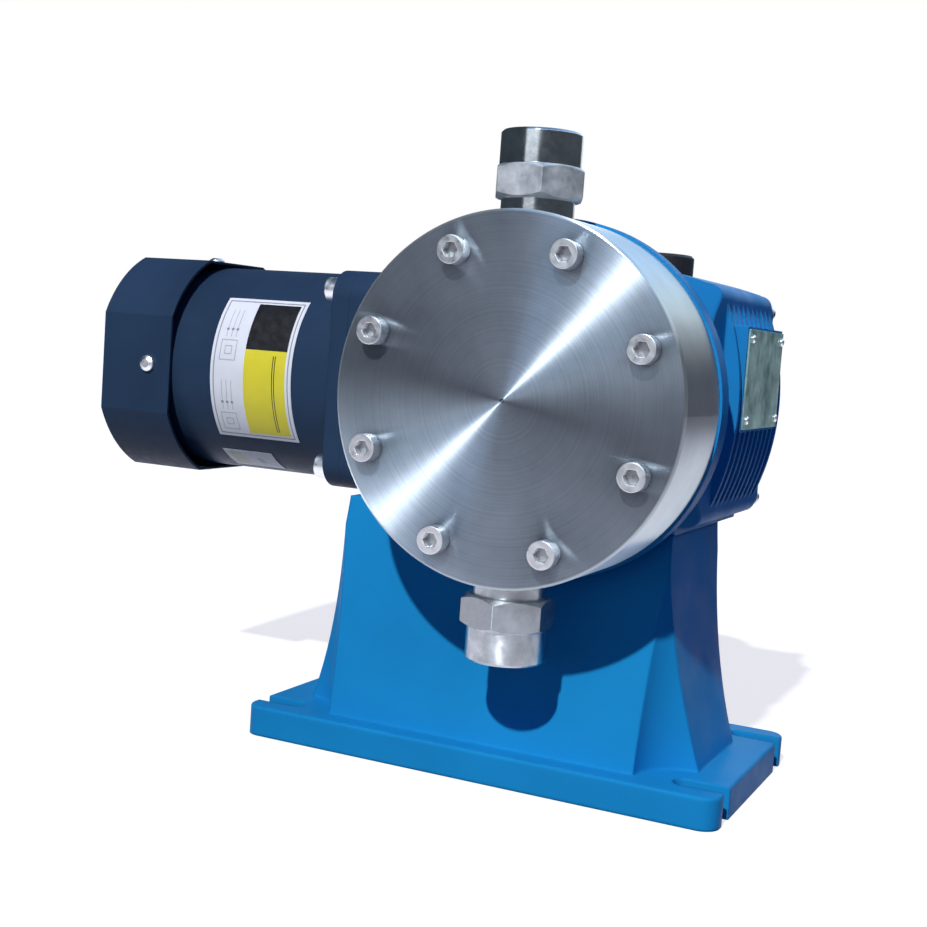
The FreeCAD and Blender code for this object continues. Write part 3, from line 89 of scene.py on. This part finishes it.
# Places that several looks and pieces share, read from the frame
HEAD_LOW, HEAD_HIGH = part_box("pump_head")
HEAD_X = (HEAD_LOW.x + HEAD_HIGH.x) / 2
HEAD_Z = (HEAD_LOW.z + HEAD_HIGH.z) / 2
HEAD_RADIUS = (HEAD_HIGH.x - HEAD_LOW.x) / 2
MOTOR_LOW, MOTOR_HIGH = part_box("motor_frame")
SHAFT_Y = (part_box("fan_cover")[0].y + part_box("fan_cover")[1].y) / 2
SHAFT_Z = (MOTOR_LOW.z + MOTOR_HIGH.z) / 2
MOTOR_RADIUS = (MOTOR_HIGH.z - MOTOR_LOW.z) / 2
FIN_DEPTH = 9 * MM
FIN_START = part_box("gear_housing")[1].x - FIN_DEPTH

# The valve bodies' hexagons lie between these distances from the head's axis
SPIGOT_LENGTH = 12 * MM
HEX_HEIGHT = 11.5 * MM
HEX_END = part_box("discharge_valve_body")[1].z - HEAD_Z - SPIGOT_LENGTH
HEX_START = HEX_END - HEX_HEIGHT

# Finishes: where a casting's edges turn crisp, they do so over a length of EDGE_CHANGE. A quarter turn
# draws highlights out across the turning marks, and on the disc they are turned a little further.
# FINE_SIDE points to the disc's smoothest part.
CRISP_EDGE = 0.5 * MM
EDGE_CHANGE = 2 * MM
PAINT_SHEEN = 0.027
POWDER_SHEEN = 3 * PAINT_SHEEN
QUARTER_TURN = 0.25
LAY_TURN = 0.28
FINE_SIDE = Vector((0.76, 0, 0.64))

# The finished materials by name
LOOKS = {}


# Small tools for shader nodes
def feed(tree, node, inputs):
    """Give each named input of a node its value, or link it to a socket."""
    for key, value in inputs.items():
        if isinstance(value, bpy.types.NodeSocket):
            tree.links.new(value, node.inputs[key])
        else:
            node.inputs[key].default_value = value


def add(tree, kind, inputs=None, **settings):
    """A shader node with its settings and its inputs."""
    made = tree.nodes.new(kind)
    for key, value in settings.items():
        setattr(made, key, value)
    feed(tree, made, inputs or {})
    return made


def empty_tree(owner):
    """The node tree of a material or a world, emptied."""
    owner.use_nodes = True
    owner.node_tree.nodes.clear()
    return owner.node_tree


def blank_look(name):
    """A new material in LOOKS: its node tree, its shader and its object coordinates."""
    LOOKS[name] = bpy.data.materials.new(name)
    tree = empty_tree(LOOKS[name])
    shader = add(tree, "ShaderNodeBsdfPrincipled")
    add(tree, "ShaderNodeOutputMaterial", {"Surface": shader.outputs[0]})
    place = add(tree, "ShaderNodeTexCoord").outputs["Object"]
    return tree, shader, place


def maths(tree, operation, *values):
    """The result of an operation on one or two numbers."""
    return add(tree, "ShaderNodeMath", dict(enumerate(values)), operation=operation).outputs[0]


def vector_maths(tree, operation, *values, output="Vector"):
    """The result of an operation on one or two vectors; output says Value where it is a number."""
    made = add(tree, "ShaderNodeVectorMath", dict(enumerate(values)), operation=operation)
    return made.outputs[output]


def noise(tree, place, scale, detail=3.0, roughness=0.5):
    """Cloudy noise between 0 and 1, with about scale patches to a metre."""
    made = add(tree, "ShaderNodeTexNoise", {"Vector": place, "Scale": scale, "Detail": detail,
                                            "Roughness": roughness})
    return made.outputs["Fac"]


def spread(tree, value, low=0.0, high=1.0, start=0.35, end=0.65):
    """A value between start and end stretched to run from low to high."""
    made = add(tree, "ShaderNodeMapRange", {"Value": value, "From Min": start, "From Max": end,
                                            "To Min": low, "To Max": high})
    return made.outputs[0]


def varied(tree, value, middle, share):
    """Noise stretched to run a share below and above a middle value."""
    return spread(tree, value, middle * (1 - share), middle * (1 + share))


def mix(tree, factor, first, second, **settings):
    """The mix of two colours, or of two numbers where data_type says FLOAT."""
    made = add(tree, "ShaderNodeMix", **{"data_type": "RGBA", **settings})
    feed(tree, made, {"Factor": factor, "A": first, "B": second})
    return made.outputs["Result"]


def tint(tree, value, dark, light):
    """A colour between dark and light."""
    return mix(tree, value, (*dark, 1), (*light, 1))


def scaled(colour, factor):
    """A colour made darker or lighter."""
    return tuple(min(1.0, part * factor) for part in colour)


def openness(tree, reach):
    """How open a spot is within a reach: 0 deep in a nook, 1 on a free face; the looks use it to paint
    shade.
    """
    return add(tree, "ShaderNodeAmbientOcclusion", {"Distance": reach}, samples=8).outputs["AO"]


def soft_edge(tree, radius):
    """A normal that rounds edges to a radius."""
    return add(tree, "ShaderNodeBevel", {"Radius": radius}, samples=6).outputs[0]


def bump(tree, height, depth, normal, strength=1.0):
    """A normal roughened by a height between 0 and 1 that stands for a depth."""
    made = add(tree, "ShaderNodeBump", {"Height": height, "Distance": depth, "Strength": strength,
                                        "Normal": normal})
    return made.outputs[0]


def turned_round(tree, axis):
    """The direction of turning marks round an axis through the middle of a piece."""
    return add(tree, "ShaderNodeTangent", direction_type="RADIAL", axis=axis).outputs[0]


def from_axis(tree, place, x, z):
    """Distance from an axis that runs along Y through x and z."""
    moved = vector_maths(tree, "SUBTRACT", place, (x, 0, z))
    flat = vector_maths(tree, "MULTIPLY", moved, (1, 0, 1))
    return vector_maths(tree, "LENGTH", flat, output="Value")


def by_ray(tree, seen, mirrored, lit):
    """One shader for what the camera sees, also through glass, one for gloss and one for matt surfaces."""
    ray = add(tree, "ShaderNodeLightPath").outputs
    straight = maths(tree, "MAXIMUM", ray["Is Camera Ray"], ray["Is Transmission Ray"])
    indirect = add(tree, "ShaderNodeMixShader", {0: ray["Is Glossy Ray"], 1: lit, 2: mirrored}).outputs[0]
    return add(tree, "ShaderNodeMixShader", {0: straight, 1: indirect, 2: seen}).outputs[0]


# Materials
def cast_paint(name, colour, edge, crisp_from=None):
    """Satin enamel over a cast surface; past the place crisp_from along X its edges are crisper."""
    tree, shader, place = blank_look(name)
    cloud = spread(tree, noise(tree, place, scale=14, detail=4))
    if crisp_from is not None:
        along = add(tree, "ShaderNodeSeparateXYZ", {"Vector": place}).outputs["X"]
        edge = spread(tree, along, edge, CRISP_EDGE, start=crisp_from, end=crisp_from + EDGE_CHANGE)
    lumps = noise(tree, place, scale=120, detail=4, roughness=0.6)
    grain = noise(tree, place, scale=900, detail=2)
    lumpy = bump(tree, lumps, 0.24 * MM, soft_edge(tree, edge), strength=0.5)
    feed(tree, shader, {
        "Base Color": tint(tree, cloud, scaled(colour, 0.92), scaled(colour, 1.07)),
        "Roughness": spread(tree, noise(tree, place, scale=60), 0.36, 0.48),
        "Normal": bump(tree, grain, 0.048 * MM, lumpy, strength=0.6),
        "Specular IOR Level": PAINT_SHEEN})


def powder_paint(name, colour):
    """Satin powder paint over sheet and machined metal."""
    tree, shader, place = blank_look(name)
    cloud = spread(tree, noise(tree, place, scale=22, detail=3))
    grain = noise(tree, place, scale=1500, detail=2)
    feed(tree, shader, {
        "Base Color": tint(tree, cloud, scaled(colour, 0.88), scaled(colour, 1.1)),
        "Roughness": spread(tree, noise(tree, place, scale=300), 0.34, 0.46),
        "Normal": bump(tree, grain, 0.03 * MM, soft_edge(tree, 0.7 * MM)),
        "Specular IOR Level": POWDER_SHEEN})


def turned_colour(tree, place, radius, rings):
    """The disc's steel: cloudy with faint rings, painted paler at the rim as a highlight, and with painted
    shade round each screw's foot.
    """
    screw_shade = 9 * MM
    rim_start = HEAD_RADIUS - 1.2 * MM
    rim_end = HEAD_RADIUS - 0.4 * MM
    stain = noise(tree, place, scale=22, detail=6, roughness=0.65)
    marked = maths(tree, "ADD", spread(tree, rings, 0, 0.1), stain)
    face = tint(tree, spread(tree, marked, end=0.75), (0.28, 0.33, 0.38), (0.43, 0.50, 0.57))
    # Painted highlight: the rim's steel is paler than the face's, standing in for the bright reflections
    # along it.
    rim = tint(tree, spread(tree, stain), (0.56, 0.63, 0.64), (0.70, 0.76, 0.78))
    steel = mix(tree, spread(tree, radius, start=rim_start, end=rim_end), face, rim)
    # Painted shade: the colour darkens where the screw heads close round a spot, standing in for their
    # shadows on the disc.
    shade = spread(tree, openness(tree, screw_shade), low=0.35, start=0.45, end=0.95)
    return mix(tree, 1.0, steel, shade, blend_type="MULTIPLY")


def turned_steel(name):
    """Stainless steel faced in a lathe: fine rings round the head's axis, smoother towards FINE_SIDE."""
    fine_reach = 62 * MM
    tree, shader, place = blank_look(name)
    radius = from_axis(tree, place, HEAD_X, HEAD_Z)
    rings = add(tree, "ShaderNodeTexNoise", {"W": radius, "Scale": 1100.0, "Detail": 5.0},
                noise_dimensions="1D").outputs["Fac"]
    middle = FINE_SIDE.dot((HEAD_X, 0, HEAD_Z))
    aside = vector_maths(tree, "DOT_PRODUCT", place, FINE_SIDE, output="Value")
    finer = spread(tree, aside, high=0.085, start=middle, end=middle + fine_reach)
    feed(tree, shader, {
        "Base Color": turned_colour(tree, place, radius, rings),
        "Roughness": maths(tree, "SUBTRACT", spread(tree, rings, 0.365, 0.38), finer),
        "Normal": bump(tree, rings, 0.002 * MM, soft_edge(tree, 0.6 * MM), strength=0.3),
        "Tangent": turned_round(tree, "Y"),
        "Metallic": 0.85,
        "Anisotropic": 1.0,
        "Anisotropic Rotation": LAY_TURN})


def machined_steel(name, dark, light, roughness):
    """Machined metal with fine marks that run level."""
    tree, shader, place = blank_look(name)
    stain = noise(tree, place, scale=70, detail=5, roughness=0.6)
    level = add(tree, "ShaderNodeMapping", {"Vector": place, "Scale": (1, 1, 14)}).outputs[0]
    marks = noise(tree, level, scale=500)
    feed(tree, shader, {
        "Base Color": tint(tree, spread(tree, stain), dark, light),
        "Roughness": varied(tree, noise(tree, level, scale=260), roughness, 0.25),
        "Normal": bump(tree, marks, 0.01 * MM, soft_edge(tree, 0.35 * MM), strength=0.6),
        "Metallic": 1.0})


def plated_screw(name):
    """Bright plated screws, with painted shade down in their sockets."""
    socket_depth = 4 * MM
    tree, shader, place = blank_look(name)
    # Painted shade: the colour darkens where the socket walls close round a spot.
    lit = spread(tree, openness(tree, socket_depth), start=0.25, end=0.7)
    grain = noise(tree, place, scale=700, detail=3)
    feed(tree, shader, {
        "Base Color": tint(tree, lit, (0.30, 0.30, 0.32), (0.92, 0.93, 0.94)),
        "Roughness": spread(tree, noise(tree, place, scale=300, detail=4), 0.26, 0.42),
        "Normal": bump(tree, grain, 0.03 * MM, soft_edge(tree, 0.5 * MM)),
        "Metallic": 1.0})


def valve_steel(name, polish, satin, streak=0.0):
    """A valve body: a polished turned spigot and neck, and a satin hexagon with a mottled skin.

    Where streak is set, the turning marks draw the highlights out along the valve's axis.
    """
    tree, shader, place = blank_look(name)
    height = add(tree, "ShaderNodeSeparateXYZ", {"Vector": place}).outputs["Z"]
    reach = maths(tree, "ABSOLUTE", maths(tree, "SUBTRACT", height, HEAD_Z))
    spigot = maths(tree, "GREATER_THAN", reach, HEX_END)
    neck = maths(tree, "LESS_THAN", reach, HEX_START)
    turned = maths(tree, "MAXIMUM", spigot, neck)
    mottle = noise(tree, place, scale=130, detail=6, roughness=0.7)
    skin = varied(tree, mottle, satin, 0.15)
    shine = varied(tree, noise(tree, place, scale=300), polish, 0.2)
    pits = noise(tree, place, scale=420, detail=5)
    feed(tree, shader, {
        "Base Color": tint(tree, spread(tree, mottle), (0.50, 0.53, 0.55), (0.74, 0.76, 0.78)),
        "Roughness": mix(tree, turned, skin, shine, data_type="FLOAT"),
        "Normal": bump(tree, pits, 0.03 * MM, soft_edge(tree, 0.4 * MM), strength=0.5),
        "Metallic": 1.0})
    if streak:
        feed(tree, shader, {
            "Tangent": turned_round(tree, "Z"),
            "Anisotropic": streak,
            "Anisotropic Rotation": QUARTER_TURN})


def moulded_plastic(name, colour, roughness=0.5):
    """Plain moulded plastic or rubber with a fine grain."""
    tree, shader, place = blank_look(name)
    cloud = spread(tree, noise(tree, place, scale=40))
    grain = noise(tree, place, scale=2200, detail=2)
    feed(tree, shader, {
        "Base Color": tint(tree, cloud, scaled(colour, 0.8), scaled(colour, 1.2)),
        "Roughness": varied(tree, noise(tree, place, scale=400), roughness, 0.15),
        "Normal": bump(tree, grain, 0.02 * MM, soft_edge(tree, 0.4 * MM))})


def plate_metal(name):
    """Bare aluminium sheet, handled and slightly mottled."""
    tree, shader, place = blank_look(name)
    mottle = noise(tree, place, scale=90, detail=5, roughness=0.7)
    dents = noise(tree, place, scale=200, detail=4)
    feed(tree, shader, {
        "Base Color": tint(tree, spread(tree, mottle), (0.33, 0.54, 0.50), (0.54, 0.73, 0.68)),
        "Roughness": spread(tree, mottle, 0.42, 0.58),
        "Normal": bump(tree, dents, 0.08 * MM, soft_edge(tree, 0.2 * MM)),
        "Metallic": 1.0})


def printed_film(name, colour):
    """Printed label film with a slight gloss."""
    tree, shader, place = blank_look(name)
    cloud = spread(tree, noise(tree, place, scale=120))
    feed(tree, shader, {
        "Base Color": tint(tree, cloud, scaled(colour, 0.95), colour),
        "Roughness": spread(tree, noise(tree, place, scale=300), 0.3, 0.42)})


def clear_glass(name):
    """The sight glass, faintly green."""
    tree, shader, place = blank_look(name)
    feed(tree, shader, {
        "Base Color": (0.75, 0.82, 0.74, 1),
        "Roughness": spread(tree, noise(tree, place, scale=300), 0.04, 0.1),
        "Transmission Weight": 0.7})


def make_looks():
    """Enter every finish in LOOKS."""
    cast_paint("base_blue", colour=(0.011, 0.26, 0.58), edge=1.8 * MM)
    cast_paint("housing_blue", colour=(0.016, 0.245, 0.58), edge=2.6 * MM, crisp_from=FIN_START)
    powder_paint("motor_navy", colour=(0.023, 0.050, 0.098))
    turned_steel("turned_steel")
    valve_steel("upper_fitting", polish=0.15, satin=0.56)
    valve_steel("lower_fitting", polish=0.36, satin=0.50, streak=0.85)
    plated_screw("bright_steel")
    machined_steel("inner_steel", dark=(0.30, 0.30, 0.31), light=(0.45, 0.45, 0.46), roughness=0.35)
    plate_metal("plate")
    moulded_plastic("black_plastic", colour=(0.016, 0.016, 0.018))
    moulded_plastic("black_rubber", colour=(0.022, 0.022, 0.022), roughness=0.75)
    machined_steel("bronze", dark=(0.42, 0.26, 0.10), light=(0.60, 0.40, 0.18), roughness=0.3)
    machined_steel("copper", dark=(0.50, 0.18, 0.08), light=(0.62, 0.26, 0.12), roughness=0.35)
    clear_glass("glass")
    printed_film("label_white", colour=(0.88, 0.94, 0.97))
    printed_film("label_grey", colour=(0.30, 0.33, 0.36))
    printed_film("label_black", colour=(0.012, 0.012, 0.014))
    printed_film("label_yellow", colour=(0.87, 0.79, 0.045))
    printed_film("label_pale", colour=(0.52, 0.55, 0.58))
    printed_film("label_lime", colour=(0.62, 0.68, 0.42))


NODE_LOOKS = {
    "base_blue": ["base_pedestal"],
    "housing_blue": ["gear_housing", "rear_cover"],
    "motor_navy": ["motor_flange", "motor_frame", "motor_rear_bracket", "fan_cover", "gearhead_case"],
    "turned_steel": ["pump_head"],
    "upper_fitting": ["discharge_valve_body"],
    "lower_fitting": ["suction_valve_body"],
    "bright_steel": ["head_screws", "motor_flange_screws", "rear_cover_screws", "fan_cover_screws",
                     "nameplate_screws", "pedestal_screws"],
    "plate": ["nameplate", "scale_sleeve", "diaphragm_backing_disc", "diaphragm_clamp_disc"],
    "black_plastic": ["oil_breather_cap", "stroke_knob", "cooling_fan", "diaphragm"],
    "black_rubber": ["lead_grommet", "rear_cover_gasket", "plunger_seal", "valve_gaskets"],
    "bronze": ["plunger_bush", "oil_drain_plug"],
    "copper": ["stator_windings"],
    "glass": ["oil_sight_glass"],
    "label_white": ["motor_label"],
}


def dress_nodes():
    """Each CAD node gets its finish; those not named are machined steel inside the pump."""
    finish = {node: look for look, nodes in NODE_LOOKS.items() for node in nodes}
    for name, thing in NODES.items():
        for i in range(len(thing.data.materials)):
            thing.data.materials[i] = LOOKS[finish.get(name, "inner_steel")]


# Small tools for meshes
def placed(name, data):
    """A new object in the scene."""
    thing = bpy.data.objects.new(name, data)
    bpy.context.scene.collection.objects.link(thing)
    return thing


def piece(name, mesh, look, body):
    """A finished piece that rides on a body."""
    thing = placed(name, mesh)
    mesh.materials.append(LOOKS[look])
    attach(thing, body)


def lofted(name, rings):
    """A closed mesh through rings of equally many points."""
    work = bmesh.new()
    made = [[work.verts.new(point) for point in one] for one in rings]
    count = len(made[0])
    for low, high in zip(made, made[1:]):
        for i in range(count):
            work.faces.new((low[i], low[(i + 1) % count], high[(i + 1) % count], high[i]))
    work.faces.new(reversed(made[0]))
    work.faces.new(made[-1])
    bmesh.ops.recalc_face_normals(work, faces=work.faces)
    mesh = bpy.data.meshes.new(name)
    work.to_mesh(mesh)
    work.free()
    return mesh


def motor_point(x, angle, radius):
    """A point on the round motor: the angle is measured up from the side that faces the front."""
    return Vector((x, SHAFT_Y - radius * math.cos(angle), SHAFT_Z + radius * math.sin(angle)))


# Print on the motor: an area is (left, right, top, bottom), as places along X and angles round the
# motor. The label is taller than long, so the lines of a printed frame take a smaller share of its
# height than of its length, by HEIGHT_FACTOR.
LABEL_LEFT, LABEL_RIGHT = (corner.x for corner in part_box("motor_label"))
LABEL_AREA = (LABEL_LEFT, LABEL_RIGHT, math.radians(43), math.radians(-39))
SMALL_LABEL_AREA = (LABEL_LEFT - 3 * MM, LABEL_RIGHT - 18 * MM, math.radians(-51), math.radians(-70))
HEIGHT_FACTOR = 1.45
ARC_STEPS = 40
SHEET_TOP = MOTOR_RADIUS + 0.2 * MM
LAYER = 0.04 * MM


def printed_patch(name, look, edges, layer=1, area=LABEL_AREA):
    """A field between edges (left, right, top, bottom), as shares of an area; layer 2 lies over layer 1."""
    left, right, top, bottom = edges
    area_left, area_right, area_top, area_bottom = area
    start_x = area_left + (area_right - area_left) * left
    end_x = area_left + (area_right - area_left) * right
    steps = max(2, int(ARC_STEPS * (bottom - top)))
    inner = SHEET_TOP - LAYER
    outer = SHEET_TOP + LAYER * layer
    rings = []
    for i in range(steps + 1):
        angle = area_top + (area_bottom - area_top) * (top + (bottom - top) * i / steps)
        rings.append([motor_point(start_x, angle, inner), motor_point(end_x, angle, inner),
                      motor_point(end_x, angle, outer), motor_point(start_x, angle, outer)])
    piece(name, lofted(name, rings), look, "pump")


def printed_frame(name, look, edges, width):
    """A thin printed outline; the width is a share of the label's length along the motor."""
    left, right, top, bottom = edges
    tall = width / HEIGHT_FACTOR
    printed_patch(name + "_left", look, (left, left + width, top, bottom))
    printed_patch(name + "_right", look, (right - width, right, top, bottom))
    printed_patch(name + "_top", look, (left, right, top, top + tall))
    printed_patch(name + "_bottom", look, (left, right, bottom - tall, bottom))


def label_diagram(i, start, end):
    """A neutral line figure: a box with a core, and three leads above it with darker ends."""
    line = 0.010
    printed_frame("label_diagram_%d" % i, "label_pale", (0.10, 0.30, start, end), line)
    printed_frame("label_diagram_core_%d" % i, "label_pale", (0.155, 0.245, start + 0.04, end - 0.04), line)
    for k, across in enumerate((0.14, 0.20, 0.26)):
        printed_patch("label_lead_%d_%d" % (i, k), "label_pale",
                      (across, across + 0.008, start - 0.22, start - 0.02))
        printed_patch("label_lead_end_%d_%d" % (i, k), "label_grey",
                      (across - 0.012, across + 0.018, start - 0.08, start - 0.065), layer=2)


def motor_label():
    """The label's border, its dark and yellow fields, a double rule and two line figures."""
    field_left, field_right, fields_meet = 0.415, 0.925, 0.377
    printed_frame("label_border", "label_grey", (0.035, 0.965, 0.022, 0.978), width=0.012)
    printed_patch("label_dark_field", "label_black", (field_left, field_right, 0.042, fields_meet))
    printed_patch("label_yellow_field", "label_yellow", (field_left, field_right, fields_meet, 0.957))
    for i, across in enumerate((0.765, 0.790)):
        printed_patch("label_double_rule_%d" % i, "label_black", (across, across + 0.010, 0.41, 0.93),
                      layer=2)
    for i, (start, end) in enumerate(((0.32, 0.46), (0.81, 0.94))):
        label_diagram(i, start, end)


def small_label():
    """The pale second label lower on the motor, with one pale yellow field and one grey mark."""
    printed_patch("small_label", "label_white", (0, 1, 0, 1), area=SMALL_LABEL_AREA)
    printed_patch("small_label_field", "label_lime", (0.10, 0.34, 0.12, 0.88), 2, SMALL_LABEL_AREA)
    printed_patch("small_label_mark", "label_pale", (0.60, 0.72, 0.35, 0.65), 2, SMALL_LABEL_AREA)


def build_scene():
    """The dressed CAD nodes and the print on the motor."""
    dress_nodes()
    motor_label()
    small_label()


# Camera, light and floor
def camera():
    """The camera of the photograph."""
    data = bpy.data.cameras.new("camera")
    data.lens = CAMERA_LENS
    data.sensor_width = SENSOR
    thing = placed("camera", data)
    back = -CAMERA_FORWARD.normalized()
    right = CAMERA_UP.cross(back).normalized()
    up = back.cross(right)
    turn = Matrix((right, up, back)).transposed().to_4x4()
    thing.matrix_world = Matrix.Translation(CAMERA_PLACE) @ turn
    bpy.context.scene.camera = thing


def far_light(name, travel, strength, width):
    """A far lamp whose light travels along a direction."""
    data = bpy.data.lights.new(name, "SUN")
    data.energy = strength
    data.angle = width
    lamp = placed(name, data)
    lamp.rotation_mode = "QUATERNION"
    lamp.rotation_quaternion = travel.to_track_quat("-Z", "Y")
    return lamp


def lights():
    """The sun, and the lamp behind, which gloss doesn't mirror."""
    far_light("sun", SUN_TRAVEL, SUN_STRENGTH, SUN_WIDTH)
    far_light("back_light", BACK_TRAVEL, BACK_STRENGTH, BACK_WIDTH).visible_glossy = False


def sky():
    """White to the camera, the skyline in gloss, and a dim blue fill on matt surfaces."""
    world = bpy.data.worlds.new("sky")
    bpy.context.scene.world = world
    tree = empty_tree(world)
    around = add(tree, "ShaderNodeTexCoord").outputs["Generated"]
    direction = add(tree, "ShaderNodeSeparateXYZ", {"Vector": around}).outputs
    climb = spread(tree, direction["X"], high=CLIMB, start=CLIMB_START, end=CLIMB_END)
    ramp = add(tree, "ShaderNodeValToRGB", {"Fac": maths(tree, "SUBTRACT", direction["Z"], climb)})
    for height, colour in SKYLINE:
        ramp.color_ramp.elements.new(height).color = (*colour, 1)
    ramp.color_ramp.elements.remove(ramp.color_ramp.elements[0])
    ramp.color_ramp.elements.remove(ramp.color_ramp.elements[-1])
    open_side = spread(tree, direction["X"], start=SHADE_END, end=OPEN_START)
    above = mix(tree, open_side, (*SHADE_SIDE, 1), ramp.outputs["Color"])
    white = add(tree, "ShaderNodeBackground", {"Color": (1, 1, 1, 1)})
    gloss = add(tree, "ShaderNodeBackground", {"Color": above, "Strength": SKYLINE_STRENGTH})
    fill = add(tree, "ShaderNodeBackground", {"Color": (*SKY_FILL, 1)})
    whole = by_ray(tree, white.outputs[0], gloss.outputs[0], fill.outputs[0])
    add(tree, "ShaderNodeOutputWorld", {"Surface": whole})


def floor_shine(tree):
    """How bright the floor is in gloss, from 0 to FLOOR_SHINE."""
    place = add(tree, "ShaderNodeTexCoord").outputs["Object"]
    spot = add(tree, "ShaderNodeSeparateXYZ", {"Vector": place}).outputs
    behind = maths(tree, "MULTIPLY", spot["Y"], BEHIND_FACTOR)
    before = maths(tree, "MULTIPLY", spot["Y"], -1.0)
    depth = maths(tree, "MAXIMUM", behind, before)
    reach = add(tree, "ShaderNodeCombineXYZ", {"X": spot["X"], "Y": depth}).outputs[0]
    away = vector_maths(tree, "LENGTH", reach, output="Value")
    fade = spread(tree, away, low=FLOOR_SHINE, high=0.0, start=FADE_START, end=FADE_END)
    across = maths(tree, "SUBTRACT", spot["Y"], spot["X"])
    side = spread(tree, across, low=RIGHT_SHARE, start=RIGHT_END, end=RIGHT_START)
    return maths(tree, "MULTIPLY", fade, side)


def floor():
    """A pale floor that keeps a light shadow."""
    low, high = -FLOOR_REACH, FLOOR_REACH
    mesh = bpy.data.meshes.new("floor")
    mesh.from_pydata([(low, low, 0), (high, low, 0), (high, high, 0), (low, high, 0)], [], [(0, 1, 2, 3)])
    look = bpy.data.materials.new("pale_floor")
    tree = empty_tree(look)
    shine = floor_shine(tree)
    catch = add(tree, "ShaderNodeBsdfDiffuse", {"Color": (FLOOR_CATCH, FLOOR_CATCH, FLOOR_CATCH, 1)})
    glow = add(tree, "ShaderNodeEmission", {"Color": (1, 1, 1, 1), "Strength": FLOOR_GLOW})
    seen = add(tree, "ShaderNodeAddShader", {0: catch.outputs[0], 1: glow.outputs[0]})
    dim = add(tree, "ShaderNodeBsdfDiffuse", {"Color": shine})
    glint = add(tree, "ShaderNodeEmission", {"Color": (1, 1, 1, 1),
                                             "Strength": maths(tree, "MULTIPLY", shine, FLOOR_GLINT)})
    mirrored = add(tree, "ShaderNodeAddShader", {0: glint.outputs[0], 1: dim.outputs[0]})
    bounce = add(tree, "ShaderNodeBsdfDiffuse", {"Color": (FLOOR_BOUNCE, FLOOR_BOUNCE, FLOOR_BOUNCE, 1)})
    whole = by_ray(tree, seen.outputs[0], mirrored.outputs[0], bounce.outputs[0])
    add(tree, "ShaderNodeOutputMaterial", {"Surface": whole})
    mesh.materials.append(look)
    placed("floor", mesh)


make_looks()
camera()
lights()
sky()
floor()
build_scene()
bpy.context.scene.view_settings.view_transform = "Standard"
